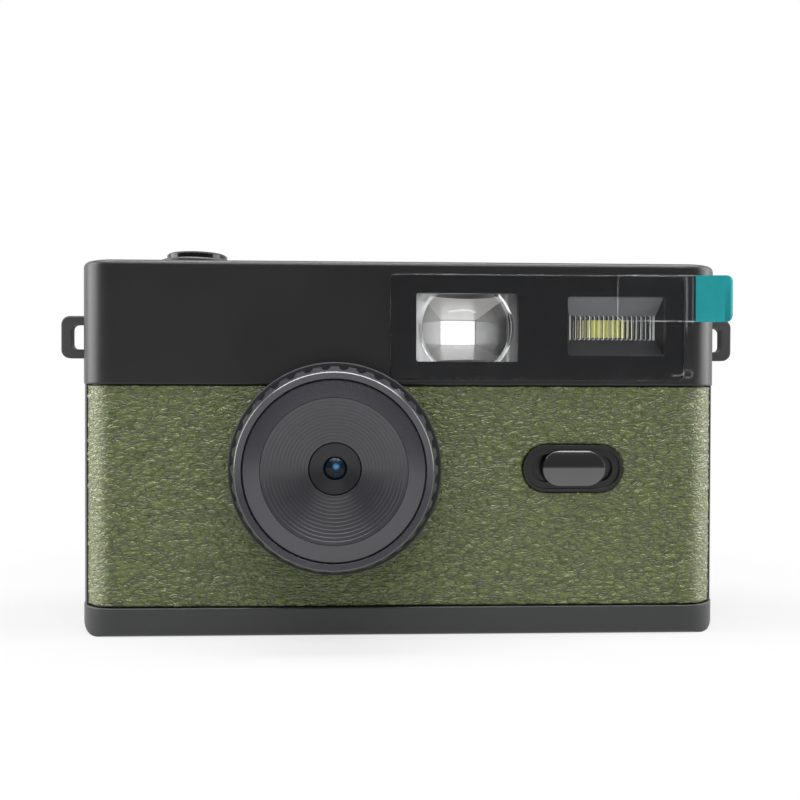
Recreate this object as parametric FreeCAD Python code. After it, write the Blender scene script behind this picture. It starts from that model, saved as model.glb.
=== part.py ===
import FreeCAD, Part
import math
import os

# A small digital camera without a screen, in millimetres.
# X runs to the right seen from the front, Y runs from the front to the back, Z runs up.
# The origin is the middle of the base's underside.

V = FreeCAD.Vector

# How far a cutting shape runs past the face that it cuts, the spare depth of a screw's hole,
# the distance below which two points count as one, and the radius of small inner corners
over = 1.0
hole_spare = 0.3
tiny = 1e-4
small_corner = 0.3

# Body
body_width = 113.6
body_depth = 24.0
corner_radius = 7.0
base_height = 5.0
middle_height = 38.7
cover_height = 21.5
wall = 2.0
floor_thickness = 2.0
roof_thickness = 2.0
base_end_radius = 3.4
base_edge_radius = 0.9
top_edge_radius = 1.0
seam_edge_radius = 0.25
middle_inset = 0.15
fit = 0.1
running_fit = 0.05
lip_height = 2.0
lip_thickness = 0.9
lip_root = 2.5
lip_notch_gap = 0.4
shell_groove = 0.3
clip_y = 4.5
clip_width = 4.0
clip_height = 0.7
clip_proud = 0.35
clip_rise = 0.8

# Leather covering
leather_thickness = 0.7
leather_return = 3.0
leather_seam_gap = 0.12

# Window and what lies behind it
window_x = 23.5
window_above_seam = 10.13
window_width = 51.9
window_height = 18.5
window_corner = 1.0
window_proud = 0.12
window_fit = 0.03
window_edge_radius = 0.3
cover_plate_thickness = 0.8
mask_gap = 0.03
mask_thickness = 0.25
film_thickness = 0.12
film_margin = 0.3
film_overhang = 2.0
film_gap = 0.03
tab_left = 37.3
tab_right = 57.6
tab_top_rise = 9.25
tab_bottom_rise = 1.15
tab_corner = 1.0

# Viewfinder
finder_x = 11.15
finder_rise = -0.05
finder_width = 17.9
finder_height = 11.95
finder_corner = 0.4
finder_lens_radius = 8.0
finder_lens_rim = 0.4
finder_lens_edge = 3.6
finder_lens_centre = 1.1
finder_plate_border = 0.7
finder_plate_thickness = 1.0
tunnel_mouth_width = 15.4
tunnel_mouth_height = 11.6
tunnel_width = 11.6
tunnel_height = 8.1
tunnel_wall = 0.9
socket_wall = 0.9
eyepiece_border = 1.0
eyepiece_frame_border = 3.2
eyepiece_frame_corner = 2.0
eyepiece_proud = 1.2
eyepiece_glass_thickness = 0.9
eyepiece_glass_sink = 0.1
eyepiece_corner = 0.5
eyepiece_edge_radius = 0.5
socket_border = 0.5

# Flash
flash_x = 37.55
flash_rise = 0.3
flash_width = 17.5
flash_height = 10.4
flash_corner = 0.6
flash_depth = 3.0
flash_lens_offset = 0.5
flash_lens_width = 15.8
flash_lens_height = 4.4
flash_lens_thickness = 0.9
flash_lens_border = 0.6
flash_rib_pitch = 0.85
flash_rib_radius = 0.39
hood_wall = 0.8
flash_chamber = 2.2
led_width = 2.9
led_height = 3.2
led_thickness = 0.7
led_gap = 0.9
led_offset = 0.35
circuit_board_thickness = 1.0
board_corner = 1.0

# Lens
lens_x = -11.7
lens_below_seam = 13.92
lens_reach = 11.45
flange_radius = 17.65
flange_thickness = 7.0
socket_floor = 1.5
flange_edge_radius = 0.2
spigot_radius = 12.0
spigot_wall = 1.4
spigot_tail = 1.6
sleeve_radius = 13.9
sleeve_wall = 0.9
ring_radius = 16.9
ring_rim_radius = 16.0
ring_edge = 0.18
ring_taper_length = 3.0
ring_face_slope = 0.35
ring_gap = 0.3
ring_lip_length = 1.25
ring_lip_width = 0.95
knurl_count = 36
knurl_cutter_radius = 0.9
knurl_depth = 0.6
ring_turn = 90.0
stop_start = 75.0
stop_circle = 15.4
stop_pin_radius = 0.5
stop_pin_length = 0.7
stop_clearance = 0.15
slope_inner_radius = 11.9
slope_outer_drop = 0.65
slope_outer_edge = 0.25
slope_inner_drop = 0.1
baffle_drop = 4.4
baffle_steps = 13
baffle_thickness = 1.2
baffle_sink = 0.1
baffle_ledge = 0.9
baffle_ledge_length = 1.0
baffle_tread_share = 0.62
barrel_radius = 4.35
barrel_face_drop = 4.8
barrel_dish = 0.7
barrel_edge = 0.12
barrel_gap = 0.08
barrel_rear_radius = 3.9
barrel_focus_gap = 0.3
front_glass_radius = 2.0
front_glass_curve = 3.2
front_glass_crown = 0.35
front_glass_thickness = 1.3
rear_glass_radius = 2.6
rear_glass_thickness = 1.0
light_path_radius = 1.5
holder_size = 13.0
holder_depth = 6.0
holder_roof = 4.0
holder_cavity = 8.4
filter_size = 7.6
filter_thickness = 0.3
sensor_width = 6.6
sensor_height = 5.2
sensor_thickness = 0.9
sensor_board_height = 19.0
sensor_board_border = 1.8
sensor_post_radius = 1.6
post_gap = 0.2
ribbon_thickness = 0.2
ribbon_width = 5.0
ribbon_drop = 6.0
ribbon_overlap = 6.5
lens_screw_circle = 15.6
lens_screw_count = 3
lens_screw_length = 2.9

# Shutter button
shutter_x = -37.9
shutter_y = 0.0
shutter_radius = 5.48
shutter_rise = 2.75
shutter_dome = 0.25
shutter_skirt = 2.2
shutter_travel = 0.9
collar_radius = 6.8
collar_height = 1.3
collar_neck_radius = 6.1
collar_neck_length = 3.0
collar_floor = 0.8
collar_edge_radius = 0.3
button_clearance = 0.12
shutter_edge = 0.25
stem_radius = 2.0
stem_flange_radius = 2.9
stem_flange_thickness = 0.7
spring_wire_radius = 0.2
spring_turns = 3.0
spring_gap = 0.03
tact_size = 6.0
tact_height = 3.6
plunger_radius = 1.5
plunger_proud = 1.1
plunger_depth = 1.2
plunger_spare = 0.3
shutter_stem_length = 9.0
shutter_board_width = 20.0
shutter_board_depth = 9.0
shutter_post_inset = 2.2

# Flash switch
switch_x = 29.8
switch_below_seam = 14.55
switch_width = 17.6
switch_height = 8.2
switch_rim = 0.5
switch_recess = 1.2
switch_floor = 0.8
switch_flange = 1.2
switch_lip = 0.45
switch_well_wall = 0.5
knob_width = 10.9
knob_height = 6.17
knob_proud = 0.8
knob_crown = 0.75
knob_edge = 0.2
knob_floor_gap = 0.15
knob_stem_width = 3.0
knob_stem_height = 2.2
knob_stem_corner = 0.2
switch_travel = 2.6
slide_body_width = 11.0
slide_body_height = 5.0
slide_body_thickness = 3.2
lever_width = 1.4
lever_height = 1.4
lever_proud = 2.2
lever_root = 1.2
slide_slot_floor = 1.0
fork_overlap = 1.2

# Strap lugs
lug_y = -1.0
lug_above_seam = 8.63
lug_reach = 5.6
lug_height = 7.8
lug_thickness = 1.8
lug_bar = 1.9
lug_hole_height = 4.5
lug_corner = 1.6
lug_hole_corner = 1.0
lug_hole_inset = 0.1
lug_edge_radius = 0.35
lug_root_thickness = 1.4
lug_root_border = 1.6

# Boards, battery and ports
main_board_left = 4.5
main_board_right = 46.5
main_board_low_gap = 3.0
main_board_high_gap = 3.1
main_board_front = -4.6
main_board_thickness = 1.2
ear_right = 54.0
ear_gap = 0.4
board_post_radius = 1.9
board_post_inset = 3.2
# Each chip: its centre right of and above the board's middle, its width, height and thickness
chip_layout = [(-6.0, 1.0, 9.0, 9.0, 1.2), (5.5, 6.0, 8.0, 6.0, 1.0), (5.0, -6.0, 4.0, 4.0, 0.9),
               (-6.5, -9.5, 5.0, 3.0, 1.1)]
usb_above_seam = 14.1
usb_width = 8.94
usb_height = 3.2
usb_length = 7.4
usb_wall = 0.3
usb_depth = 5.8
usb_inset = 0.4
usb_tongue_width = 6.6
usb_tongue_thickness = 0.7
usb_tongue_inset = 1.0
card_slot_width = 11.2
card_slot_height = 1.1
card_slot_corner = 0.3
card_socket_width = 12.6
card_socket_height = 1.8
card_socket_length = 9.2
card_socket_end = 1.0
card_socket_inset = 0.3
battery_left = 7.0
battery_right = 46.0
battery_gap = 4.6
battery_thickness = 5.8
battery_edge = 1.2
control_x = -38.0
control_board_width = 18.0
control_board_height = 15.9
control_board_gap = 0.7
control_board_back = 4.0
control_post_inset = 2.4
power_below_seam = 10.6
power_radius = 2.9
power_proud = 0.5
power_flange_radius = 3.9
power_flange_thickness = 0.9
power_travel = 0.5
power_stem_length = 1.0
power_edge_radius = 0.4
light_below_seam = 4.5
light_radius = 1.0
light_proud = 0.1
light_collar = 0.6
light_collar_length = 0.8
status_led_width = 1.6
status_led_height = 0.9
status_led_thickness = 0.8
status_led_gap = 0.1
buzzer_x = -42.0
buzzer_above_seam = 11.6
buzzer_radius = 6.0
buzzer_thickness = 2.6
buzzer_hole_radius = 0.9
buzzer_hole_depth = 0.8

# Screws
screw_radius = 1.0
screw_head_radius = 1.8
screw_head_height = 1.2
screw_slot_width = 0.5
screw_slot_depth = 0.6
screw_slot_border = 0.7
screw_seat_clearance = 0.3
case_screw_x = 50.3
case_screw_low_rise = 6.5
case_screw_high_drop = 3.6
case_screw_sink = 5.5
case_joint_y = 3.0
case_post_radius = 2.5
case_tube_radius = 3.0
case_screw_length = 9.0
base_screw_x = 38.0
base_screw_y = 7.1
base_post_radius = 2.3
base_post_rise = 4.0
base_screw_sink = 1.3
base_screw_length = 7.0
board_screw_length = 4.0
sensor_screw_length = 3.0
web_thickness = 1.6

# Levels and planes that follow from the sizes above
front = -body_depth / 2
back = body_depth / 2
end = body_width / 2
seam_low = base_height
seam_high = base_height + middle_height
top = seam_high + cover_height
roof = top - roof_thickness
inner_front = front + wall
inner_back = back - wall
middle_front = front + middle_inset
tip = front - lens_reach
flange_front = front - flange_thickness
spigot_end = inner_front + spigot_tail

# Heights, each held to the seam that its piece stays near
window_z = seam_high + window_above_seam
finder_z = window_z + finder_rise
flash_z = window_z + flash_rise
tab_top = window_z + tab_top_rise
tab_bottom = window_z + tab_bottom_rise
lug_z = seam_high + lug_above_seam
lens_z = seam_high - lens_below_seam
switch_z = seam_high - switch_below_seam
power_z = seam_high - power_below_seam
light_z = seam_high - light_below_seam
buzzer_z = seam_low + buzzer_above_seam
main_board_bottom = seam_low + main_board_low_gap
main_board_top = seam_high - main_board_high_gap
battery_bottom = seam_low + battery_gap
battery_top = seam_high - battery_gap
control_board_top = seam_high - control_board_gap
control_board_bottom = control_board_top - control_board_height
case_screw_low = seam_low + case_screw_low_rise
case_screw_high = seam_high - case_screw_high_drop
base_post_top = seam_low + base_post_rise
usb_z = seam_low + usb_above_seam
card_z = case_screw_high - case_post_radius - ear_gap - card_socket_width / 2


def rounded_face(place, cu, cv, width, height, radius):
    """Rounded rectangle round (cu, cv) in the plane that place maps two numbers into."""
    r = min(radius, width / 2, height / 2)
    hu = width / 2 - r
    hv = height / 2 - r
    signs = [(1, 1), (-1, 1), (-1, -1), (1, -1)]
    if r < tiny:
        corners = [place(cu + su * hu, cv + sv * hv) for su, sv in signs]
        return Part.Face(Part.makePolygon(corners + corners[:1]))
    arcs = []
    for turn, (su, sv) in enumerate(signs):
        points = []
        for step in range(3):
            angle = math.radians(90 * turn + 45 * step)
            points.append(place(cu + su * hu + r * math.cos(angle), cv + sv * hv + r * math.sin(angle)))
        arcs.append(points)
    edges = []
    for turn, points in enumerate(arcs):
        edges.append(Part.Arc(*points).toShape())
        after = arcs[(turn + 1) % 4][0]
        if points[2].distanceToPoint(after) > tiny:
            edges.append(Part.makeLine(points[2], after))
    return Part.Face(Part.Wire(edges))


def slab(width, depth, radius, low, high, cx=0.0, cy=0.0):
    """Upright block with a rounded rectangle as its plan."""
    face = rounded_face(lambda u, v: V(u, v, low), cx, cy, width, depth, radius)
    return face.extrude(V(0, 0, high - low))


def plate(cx, cz, width, height, radius, near, far):
    """Block with a rounded rectangle as its front view, from y = near to y = far."""
    face = rounded_face(lambda u, v: V(u, near, v), cx, cz, width, height, radius)
    return face.extrude(V(0, far - near, 0))


def side_plate(cy, cz, depth, height, radius, left, right):
    """Block with a rounded rectangle as its side view, from x = left to x = right."""
    face = rounded_face(lambda u, v: V(left, u, v), cy, cz, depth, height, radius)
    return face.extrude(V(right - left, 0, 0))


def box(x0, x1, y0, y1, z0, z1):
    return Part.makeBox(x1 - x0, y1 - y0, z1 - z0, V(x0, y0, z0))


def rod_y(cx, cz, radius, near, far):
    return Part.makeCylinder(radius, far - near, V(cx, near, cz), V(0, 1, 0))


def rod_z(cx, cy, radius, low, high):
    return Part.makeCylinder(radius, high - low, V(cx, cy, low), V(0, 0, 1))


def turned_y(points, cx, cz):
    """Solid of revolution about an axis along Y, from (radius, y) points."""
    corners = [V(cx + r, y, cz) for r, y in points]
    face = Part.Face(Part.makePolygon(corners + corners[:1]))
    return face.revolve(V(cx, 0, cz), V(0, 1, 0), 360)


def turned_z(points, cx, cy):
    """Solid of revolution about an upright axis, from (radius, z) points."""
    corners = [V(cx + r, cy, z) for r, z in points]
    face = Part.Face(Part.makePolygon(corners + corners[:1]))
    return face.revolve(V(cx, cy, 0), V(0, 0, 1), 360)


def body_slab(offset, low, high):
    """The camera's plan, drawn in by offset."""
    radius = max(corner_radius - offset, small_corner)
    return slab(body_width - 2 * offset, body_depth - 2 * offset, radius, low, high)


def body_ring(outer, inner, low, high):
    """A band that follows the camera's plan, between two offsets from its outside."""
    return body_slab(outer, low, high).cut(body_slab(inner, low, high))


def round_rim(shape, level, radius):
    """Fillet the edge loop that lies at one height."""
    rim = []
    for edge in shape.Edges:
        bounds = edge.BoundBox
        if abs(bounds.ZMin - level) < tiny and abs(bounds.ZMax - level) < tiny:
            rim.append(edge)
    return shape.makeFillet(radius, rim)


def split_front(shape):
    return shape.common(box(-body_width, body_width, -body_depth, 0, -over, top + over))


def split_back(shape):
    return shape.common(box(-body_width, body_width, 0, body_depth, -over, top + over))


def mirrored_pair(x):
    return (-x, x)


def screw(length):
    """Pan-head cross screw along Z: it seats at z = 0 and its shank points down."""
    head = rod_z(0, 0, screw_head_radius, 0, screw_head_height)
    head = head.makeFillet(screw_head_height / 3, [e for e in head.Edges if e.BoundBox.ZMin > tiny])
    reach = screw_head_radius - screw_slot_border
    low = screw_head_height - screw_slot_depth
    for width, depth in ((reach, screw_slot_width / 2), (screw_slot_width / 2, reach)):
        head = head.cut(box(-width, width, -depth, depth, low, screw_head_height + over))
    shank = rod_z(0, 0, screw_radius, -length + screw_radius, 0)
    point = Part.makeCone(screw_radius / 10, screw_radius, screw_radius, V(0, 0, -length), V(0, 0, 1))
    return head.fuse([shank, point]).removeSplitter()


def placed_screws(length, seats, direction):
    """One compound of screws whose heads face along direction."""
    turn = FreeCAD.Rotation(V(0, 0, 1), direction)
    screws = []
    for seat in seats:
        one = screw(length)
        one.Placement = FreeCAD.Placement(seat, turn)
        screws.append(one)
    return Part.makeCompound(screws)


case_screw_spots = [(x, z) for x in mirrored_pair(case_screw_x) for z in (case_screw_low, case_screw_high)]
base_screw_spots = [(x, y) for x in mirrored_pair(base_screw_x) for y in mirrored_pair(base_screw_y)]


def make_base_plate():
    """Bottom cap: a shallow tray, round-cornered seen from above and from the front."""
    outer = round_rim(body_slab(0, -over, seam_low), seam_low, seam_edge_radius)
    tall = 4 * base_height
    outer = outer.common(plate(0, tall / 2, body_width, tall, base_end_radius, -body_depth, body_depth))
    profile = side_plate(0, tall / 2, body_depth, tall, base_edge_radius, -body_width, body_width)
    outer = outer.common(profile)
    tray = outer.cut(body_slab(wall, floor_thickness, seam_low + over))
    for x, y in base_screw_spots:
        tray = tray.cut(rod_z(x, y, screw_head_radius + screw_seat_clearance, -over, base_screw_sink))
        tray = tray.cut(rod_z(x, y, screw_radius + fit, -over, floor_thickness + over))
    return tray


def middle_tube():
    """The middle shell before it is split, with a lip into the base and one into the top cover."""
    tube = body_ring(middle_inset, wall, seam_low, seam_high)
    lip_in = wall + lip_thickness
    pieces = []
    pieces.append(body_ring(wall - fit, lip_in, seam_high - lip_root, seam_high))
    pieces.append(body_ring(wall + fit, lip_in, seam_high - fit, seam_high + lip_height))
    pieces.append(body_ring(wall - fit, lip_in, seam_low, seam_low + lip_root))
    pieces.append(body_ring(wall + fit, lip_in, seam_low - lip_height, seam_low + fit))
    pieces.extend(cover_clips(0))
    return tube.fuse(pieces)


def cover_clips(clearance):
    """Four ridges on the upper lip's ends, which snap into pockets in the top cover."""
    clips = []
    low = seam_high + clip_rise
    for side in (-1, 1):
        inner = side * (end - wall - lip_thickness / 2)
        outer = side * (end - wall + clip_proud + clearance)
        x0, x1 = sorted((inner, outer))
        for y in mirrored_pair(clip_y):
            half = clip_width / 2 + clearance
            clips.append(box(x0, x1, y - half, y + half, low - clearance, low + clip_height + clearance))
    return clips


def base_post(x, y):
    """Post for a base screw, tied to the wall beside it above the seam."""
    side = 1 if y > 0 else -1
    post = rod_z(x, y, base_post_radius, floor_thickness, base_post_top)
    low_y, high_y = sorted((y, side * (inner_back + fit)))
    web = box(x - web_thickness / 2, x + web_thickness / 2, low_y, high_y, seam_low + fit, base_post_top)
    depth = base_screw_length - (floor_thickness - base_screw_sink)
    hole_end = floor_thickness + depth + hole_spare
    hole = rod_z(x, y, screw_radius + running_fit, floor_thickness - over, hole_end)
    return post.fuse(web), hole


def leather_blank(outer, inner, low, high):
    """The wrap's shape: along the front and part of the way round both front corners."""
    band = body_ring(outer, inner, low, high)
    front_part = box(-body_width, body_width, -body_depth, middle_front + leather_return, low, high)
    return band.common(front_part)


leather_low = seam_low + leather_seam_gap
leather_high = seam_high - leather_seam_gap
leather_back = middle_inset + leather_thickness


def make_leather_covering():
    sheet = leather_blank(middle_inset, leather_back, leather_low, leather_high)
    holes = [rod_y(lens_x, lens_z, spigot_radius + 3 * fit, -body_depth, 0)]
    for x, z in lens_screw_spots:
        holes.append(rod_y(x, z, screw_radius + 2 * fit, -body_depth, 0))
    hole_width = switch_width + 2 * fit
    hole_height = switch_height + 2 * fit
    holes.append(plate(switch_x, switch_z, hole_width, hole_height, body_width, -body_depth, 0))
    return sheet.cut(holes)


main_post_columns = (main_board_left + board_post_inset, main_board_right - board_post_inset)
main_post_rows = (main_board_bottom + board_post_inset, main_board_top - board_post_inset)
main_board_posts = [(x, z) for x in main_post_columns for z in main_post_rows]
sensor_post_x = spigot_radius + fit + post_gap + sensor_post_radius
sensor_board_posts = [(lens_x - sensor_post_x, lens_z), (lens_x + sensor_post_x, lens_z)]
sensor_board_half = sensor_post_x + sensor_board_border
sensor_board_front = spigot_end
sensor_board_back = sensor_board_front + circuit_board_thickness
case_screw_seat = back - middle_inset - case_screw_sink
switch_tray_width = switch_width - 2 * switch_flange
switch_tray_height = switch_height - 2 * switch_flange


def around_lens(count, radius, start):
    """Points evenly spaced on a circle round the lens axis, from the start angle in turns."""
    spots = []
    for index in range(count):
        angle = 2 * math.pi * (start + index / count)
        spots.append((lens_x + radius * math.sin(angle), lens_z + radius * math.cos(angle)))
    return spots


lens_screw_spots = around_lens(lens_screw_count, lens_screw_circle, 0.5)
main_board_back = main_board_front + main_board_thickness
usb_y = main_board_back + usb_height / 2
card_y = main_board_front - card_socket_height / 2


def make_front_shell():
    """Front half of the middle shell, with its front wall, posts and side openings."""
    shell = split_front(middle_tube())
    pocket = leather_blank(0, leather_back, leather_low - fit, leather_high + fit)
    pocket = pocket.cut(body_ring(-over, middle_inset, 0, top))
    shell = shell.cut(pocket)
    groove = body_ring(0, middle_inset + shell_groove, seam_low, seam_high)
    shell = shell.cut(groove.common(box(-body_width, body_width, -shell_groove, 0, 0, top)))
    posts = []
    for x, z in case_screw_spots:
        posts.append(rod_y(x, z, case_post_radius, inner_front, case_joint_y))
    for x, z in main_board_posts:
        posts.append(rod_y(x, z, board_post_radius, inner_front, main_board_front))
    for x, z in sensor_board_posts:
        posts.append(rod_y(x, z, sensor_post_radius, inner_front, sensor_board_front))
    holes = []
    for x, y in base_screw_spots:
        if y < 0:
            post, hole = base_post(x, y)
            posts.append(post)
            holes.append(hole)
    shell = shell.fuse(posts)
    pilot = screw_radius + running_fit
    for x, z in case_screw_spots:
        hole_end = case_screw_seat - case_screw_length - hole_spare
        holes.append(rod_y(x, z, pilot, hole_end, case_joint_y + over))
    for x, z in main_board_posts:
        hole_end = main_board_back - board_screw_length - hole_spare
        holes.append(rod_y(x, z, pilot, hole_end, main_board_front + over))
    for x, z in sensor_board_posts:
        hole_end = sensor_board_back - sensor_screw_length - hole_spare
        holes.append(rod_y(x, z, pilot, hole_end, sensor_board_front + over))
    for x, z in lens_screw_spots:
        holes.append(rod_y(x, z, screw_radius + fit, -body_depth, inner_front + over))
    holes.append(rod_y(lens_x, lens_z, spigot_radius + fit, -body_depth, inner_front + over))
    notch_half = socket_width / 2 + lip_notch_gap
    holes.append(box(finder_x - notch_half, finder_x + notch_half, inner_front - fit, 0, seam_high, top))
    tray_hole = (switch_tray_width + 2 * fit, switch_tray_height + 2 * fit)
    holes.append(plate(switch_x, switch_z, *tray_hole, body_width, -body_depth, inner_front + over))
    holes.append(side_plate(usb_y, usb_z, usb_height + 2 * fit, usb_width + 2 * fit, usb_height / 2 + fit,
                            end - wall - over, end + over))
    holes.append(side_plate(card_y, card_z, card_slot_height + 2 * fit, card_slot_width + 2 * fit,
                            card_slot_corner, end - wall - over, end + over))
    return shell.cut(holes)


control_post_x = control_board_width / 2 - control_post_inset
control_post_z = control_board_bottom + control_post_inset
control_posts = [(control_x + x, control_post_z) for x in mirrored_pair(control_post_x)]


def make_rear_shell():
    """Back half of the middle shell, with screw tubes and the power button's hole."""
    shell = split_back(middle_tube())
    tubes = []
    holes = []
    for x, z in case_screw_spots:
        tubes.append(rod_y(x, z, case_tube_radius, case_joint_y, inner_back + fit))
        holes.append(rod_y(x, z, screw_radius + fit, case_joint_y - over, back))
        holes.append(rod_y(x, z, screw_head_radius + screw_seat_clearance, case_screw_seat, back + over))
    for x, z in control_posts:
        tubes.append(rod_y(x, z, board_post_radius, control_board_back, inner_back + fit))
        hole_end = control_board_front + board_screw_length + hole_spare
        holes.append(rod_y(x, z, screw_radius + running_fit, control_board_back - over, hole_end))
    for x, y in base_screw_spots:
        if y > 0:
            post, hole = base_post(x, y)
            tubes.append(post)
            holes.append(hole)
    holes.append(rod_y(control_x, power_z, power_radius + fit, inner_back - over, back + over))
    holes.append(rod_y(control_x, light_z, light_radius + running_fit, inner_back - over, back + over))
    shell = shell.fuse(tubes)
    return shell.cut(holes)


control_board_front = control_board_back - circuit_board_thickness
shutter_post_x = shutter_board_width / 2 - shutter_post_inset
shutter_board_posts = [(shutter_x - shutter_post_x, shutter_y), (shutter_x + shutter_post_x, shutter_y)]
button_top = top + shutter_rise
button_under = button_top - shutter_skirt
collar_top = top + collar_height
collar_low = top - collar_neck_length
stem_end = button_under - shutter_stem_length
tact_top = stem_end - plunger_proud
shutter_board_top = tact_top - tact_height
shutter_board_low = shutter_board_top - circuit_board_thickness


def make_top_cover():
    """Top cap, open below, with the window pocket, two openings in it and the shutter hole."""
    outer = round_rim(body_slab(0, seam_high, top), top, min(top_edge_radius, roof_thickness * 0.8))
    outer = round_rim(outer, seam_high, min(seam_edge_radius, wall * 0.4))
    cover = outer.cut(body_slab(wall, seam_high - over, roof))
    posts = []
    for x, y in shutter_board_posts:
        posts.append(rod_z(x, y, board_post_radius, shutter_board_top, roof + roof_thickness / 4))
    cover = cover.fuse(posts)
    holes = cover_clips(fit)
    for x, y in shutter_board_posts:
        hole_end = shutter_board_low + board_screw_length + hole_spare
        holes.append(rod_z(x, y, screw_radius + running_fit, shutter_board_top - over, hole_end))
    window = (window_x, window_z, window_width, window_height, window_corner)
    holes.append(plate(*window, front - over, mask_back))
    holes.append(plate(finder_x, finder_z, finder_width, finder_height, finder_corner,
                       front - over, inner_front + over))
    flash = (flash_x, flash_z, flash_width, flash_height, flash_corner)
    holes.append(plate(*flash, front - over, inner_front + over))
    holes.append(plate(finder_x, finder_z, eyepiece_glass_width + 2 * fit, eyepiece_glass_height + 2 * fit,
                       eyepiece_corner + fit, inner_back - over, back + over))
    holes.append(rod_z(shutter_x, shutter_y, collar_neck_radius + running_fit, roof - over, top + over))
    for side in (-1, 1):
        x0, x1 = sorted((side * (end - wall - over), side * (end + over)))
        half = lug_thickness / 2 + running_fit
        tall = lug_height / 2 + running_fit
        holes.append(box(x0, x1, lug_y - half, lug_y + half, lug_z - tall, lug_z + tall))
    return cover.cut(holes)


window_cover_front = front - window_proud
window_cover_back = window_cover_front + cover_plate_thickness
mask_front = window_cover_back + mask_gap
mask_back = mask_front + mask_thickness


def flange_clearance():
    """Room for the lens flange, which lies over the window's lower corner."""
    return rod_y(lens_x, lens_z, flange_radius + fit, front - over, front)


def make_window_cover():
    """Clear plate, its front edges rounded over and its corner relieved for the lens flange."""
    cover = plate(window_x, window_z, window_width - 2 * window_fit, window_height - 2 * window_fit,
                  window_corner, window_cover_front, window_cover_back)
    rim = [e for e in cover.Edges if e.BoundBox.YMax < window_cover_front + tiny]
    cover = cover.makeFillet(min(window_edge_radius, cover_plate_thickness * 0.5), rim)
    return cover.cut(flange_clearance())


def make_window_mask():
    sheet = plate(window_x, window_z, window_width - 2 * window_fit, window_height - 2 * window_fit,
                  window_corner, mask_front, mask_back)
    sheet = sheet.cut(plate(finder_x, finder_z, finder_width, finder_height, finder_corner, front, 0))
    return sheet.cut(plate(flash_x, flash_z, flash_width, flash_height, flash_corner, front, 0))


def make_protective_film():
    """Shipping film, cut a little wider than the window at its right end."""
    width = window_width - film_margin + film_overhang
    height = window_height - 2 * film_margin
    film = plate(window_x + (film_margin + film_overhang) / 2, window_z, width, height, window_corner,
                 window_cover_front - film_thickness, window_cover_front)
    return film.cut(flange_clearance())


def make_pull_tab():
    """Clear tape on the film, with a coloured end that stands free past the body's corner."""
    near = min(front, window_cover_front - film_thickness) - film_gap
    return plate((tab_left + tab_right) / 2, (tab_bottom + tab_top) / 2, tab_right - tab_left,
                 tab_top - tab_bottom, tab_corner, near - film_thickness, near)


finder_lens_back = inner_front + finder_lens_edge
finder_boss_radius = finder_lens_radius + finder_lens_rim
socket_plate_width = finder_width + 2 * finder_plate_border + 2 * fit
socket_plate_height = finder_height + 2 * finder_plate_border + 2 * fit
socket_width = max(socket_plate_width, 2 * finder_boss_radius) + 2 * socket_wall
socket_height = max(socket_plate_height, 2 * finder_boss_radius) + 2 * socket_border


def make_viewfinder_lens():
    """Clear plate with a round lens whose hollow side faces the eye."""
    lens = plate(finder_x, finder_z, finder_width + 2 * finder_plate_border,
                 finder_height + 2 * finder_plate_border, finder_corner, inner_front,
                 inner_front + finder_plate_thickness)
    lens = lens.fuse(rod_y(finder_x, finder_z, finder_boss_radius, inner_front, finder_lens_back))
    sag = finder_lens_edge - finder_lens_centre
    curve = (finder_lens_radius ** 2 + sag ** 2) / (2 * sag)
    hollow = Part.makeSphere(curve, V(finder_x, finder_lens_back - sag + curve, finder_z))
    return lens.cut(hollow).removeSplitter()


def finder_taper(border):
    """Block that narrows from the tunnel's mouth, behind the front lens, to the eyepiece."""
    mouth = rounded_face(lambda u, v: V(u, finder_lens_back, v), finder_x, finder_z,
                         tunnel_mouth_width + 2 * border, tunnel_mouth_height + 2 * border, 0)
    far = rounded_face(lambda u, v: V(u, inner_back, v), finder_x, finder_z,
                       tunnel_width + 2 * border, tunnel_height + 2 * border, 0)
    return Part.makeLoft([mouth.OuterWire, far.OuterWire], True, True)


def make_viewfinder_tunnel():
    """Socket for the front lens and the glossy rectangular tube behind it."""
    socket = plate(finder_x, finder_z, socket_width, socket_height, eyepiece_corner, inner_front,
                   finder_lens_back + socket_wall)
    seat_back = inner_front + finder_plate_thickness + running_fit
    seat = plate(finder_x, finder_z, socket_plate_width, socket_plate_height, finder_corner, front, seat_back)
    socket = socket.cut(seat)
    socket = socket.cut(rod_y(finder_x, finder_z, finder_boss_radius + fit, front, finder_lens_back))
    tunnel = socket.fuse(finder_taper(tunnel_wall))
    return tunnel.cut(finder_taper(0)).removeSplitter()


eyepiece_back = back + eyepiece_proud
eyepiece_recess = eyepiece_back - eyepiece_glass_thickness - eyepiece_glass_sink
eyepiece_glass_width = tunnel_width + 2 * eyepiece_border
eyepiece_glass_height = tunnel_height + 2 * eyepiece_border


def make_eyepiece_bezel():
    neck = plate(finder_x, finder_z, eyepiece_glass_width, eyepiece_glass_height, eyepiece_corner,
                 inner_back, back)
    frame = plate(finder_x, finder_z, tunnel_width + 2 * eyepiece_frame_border,
                  tunnel_height + 2 * eyepiece_frame_border, eyepiece_frame_corner, back, eyepiece_back)
    rim = [e for e in frame.Edges if e.BoundBox.YMin > eyepiece_back - tiny]
    frame = frame.makeFillet(min(eyepiece_edge_radius, eyepiece_proud * 0.5), rim)
    bezel = neck.fuse(frame)
    bezel = bezel.cut(plate(finder_x, finder_z, tunnel_width, tunnel_height, 0, front, eyepiece_back + over))
    return bezel.cut(plate(finder_x, finder_z, eyepiece_glass_width, eyepiece_glass_height, eyepiece_corner,
                           eyepiece_recess, eyepiece_back + over))


def make_eyepiece_lens():
    return plate(finder_x, finder_z, eyepiece_glass_width - fit, eyepiece_glass_height - fit, eyepiece_corner,
                 eyepiece_recess, eyepiece_recess + eyepiece_glass_thickness)


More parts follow.
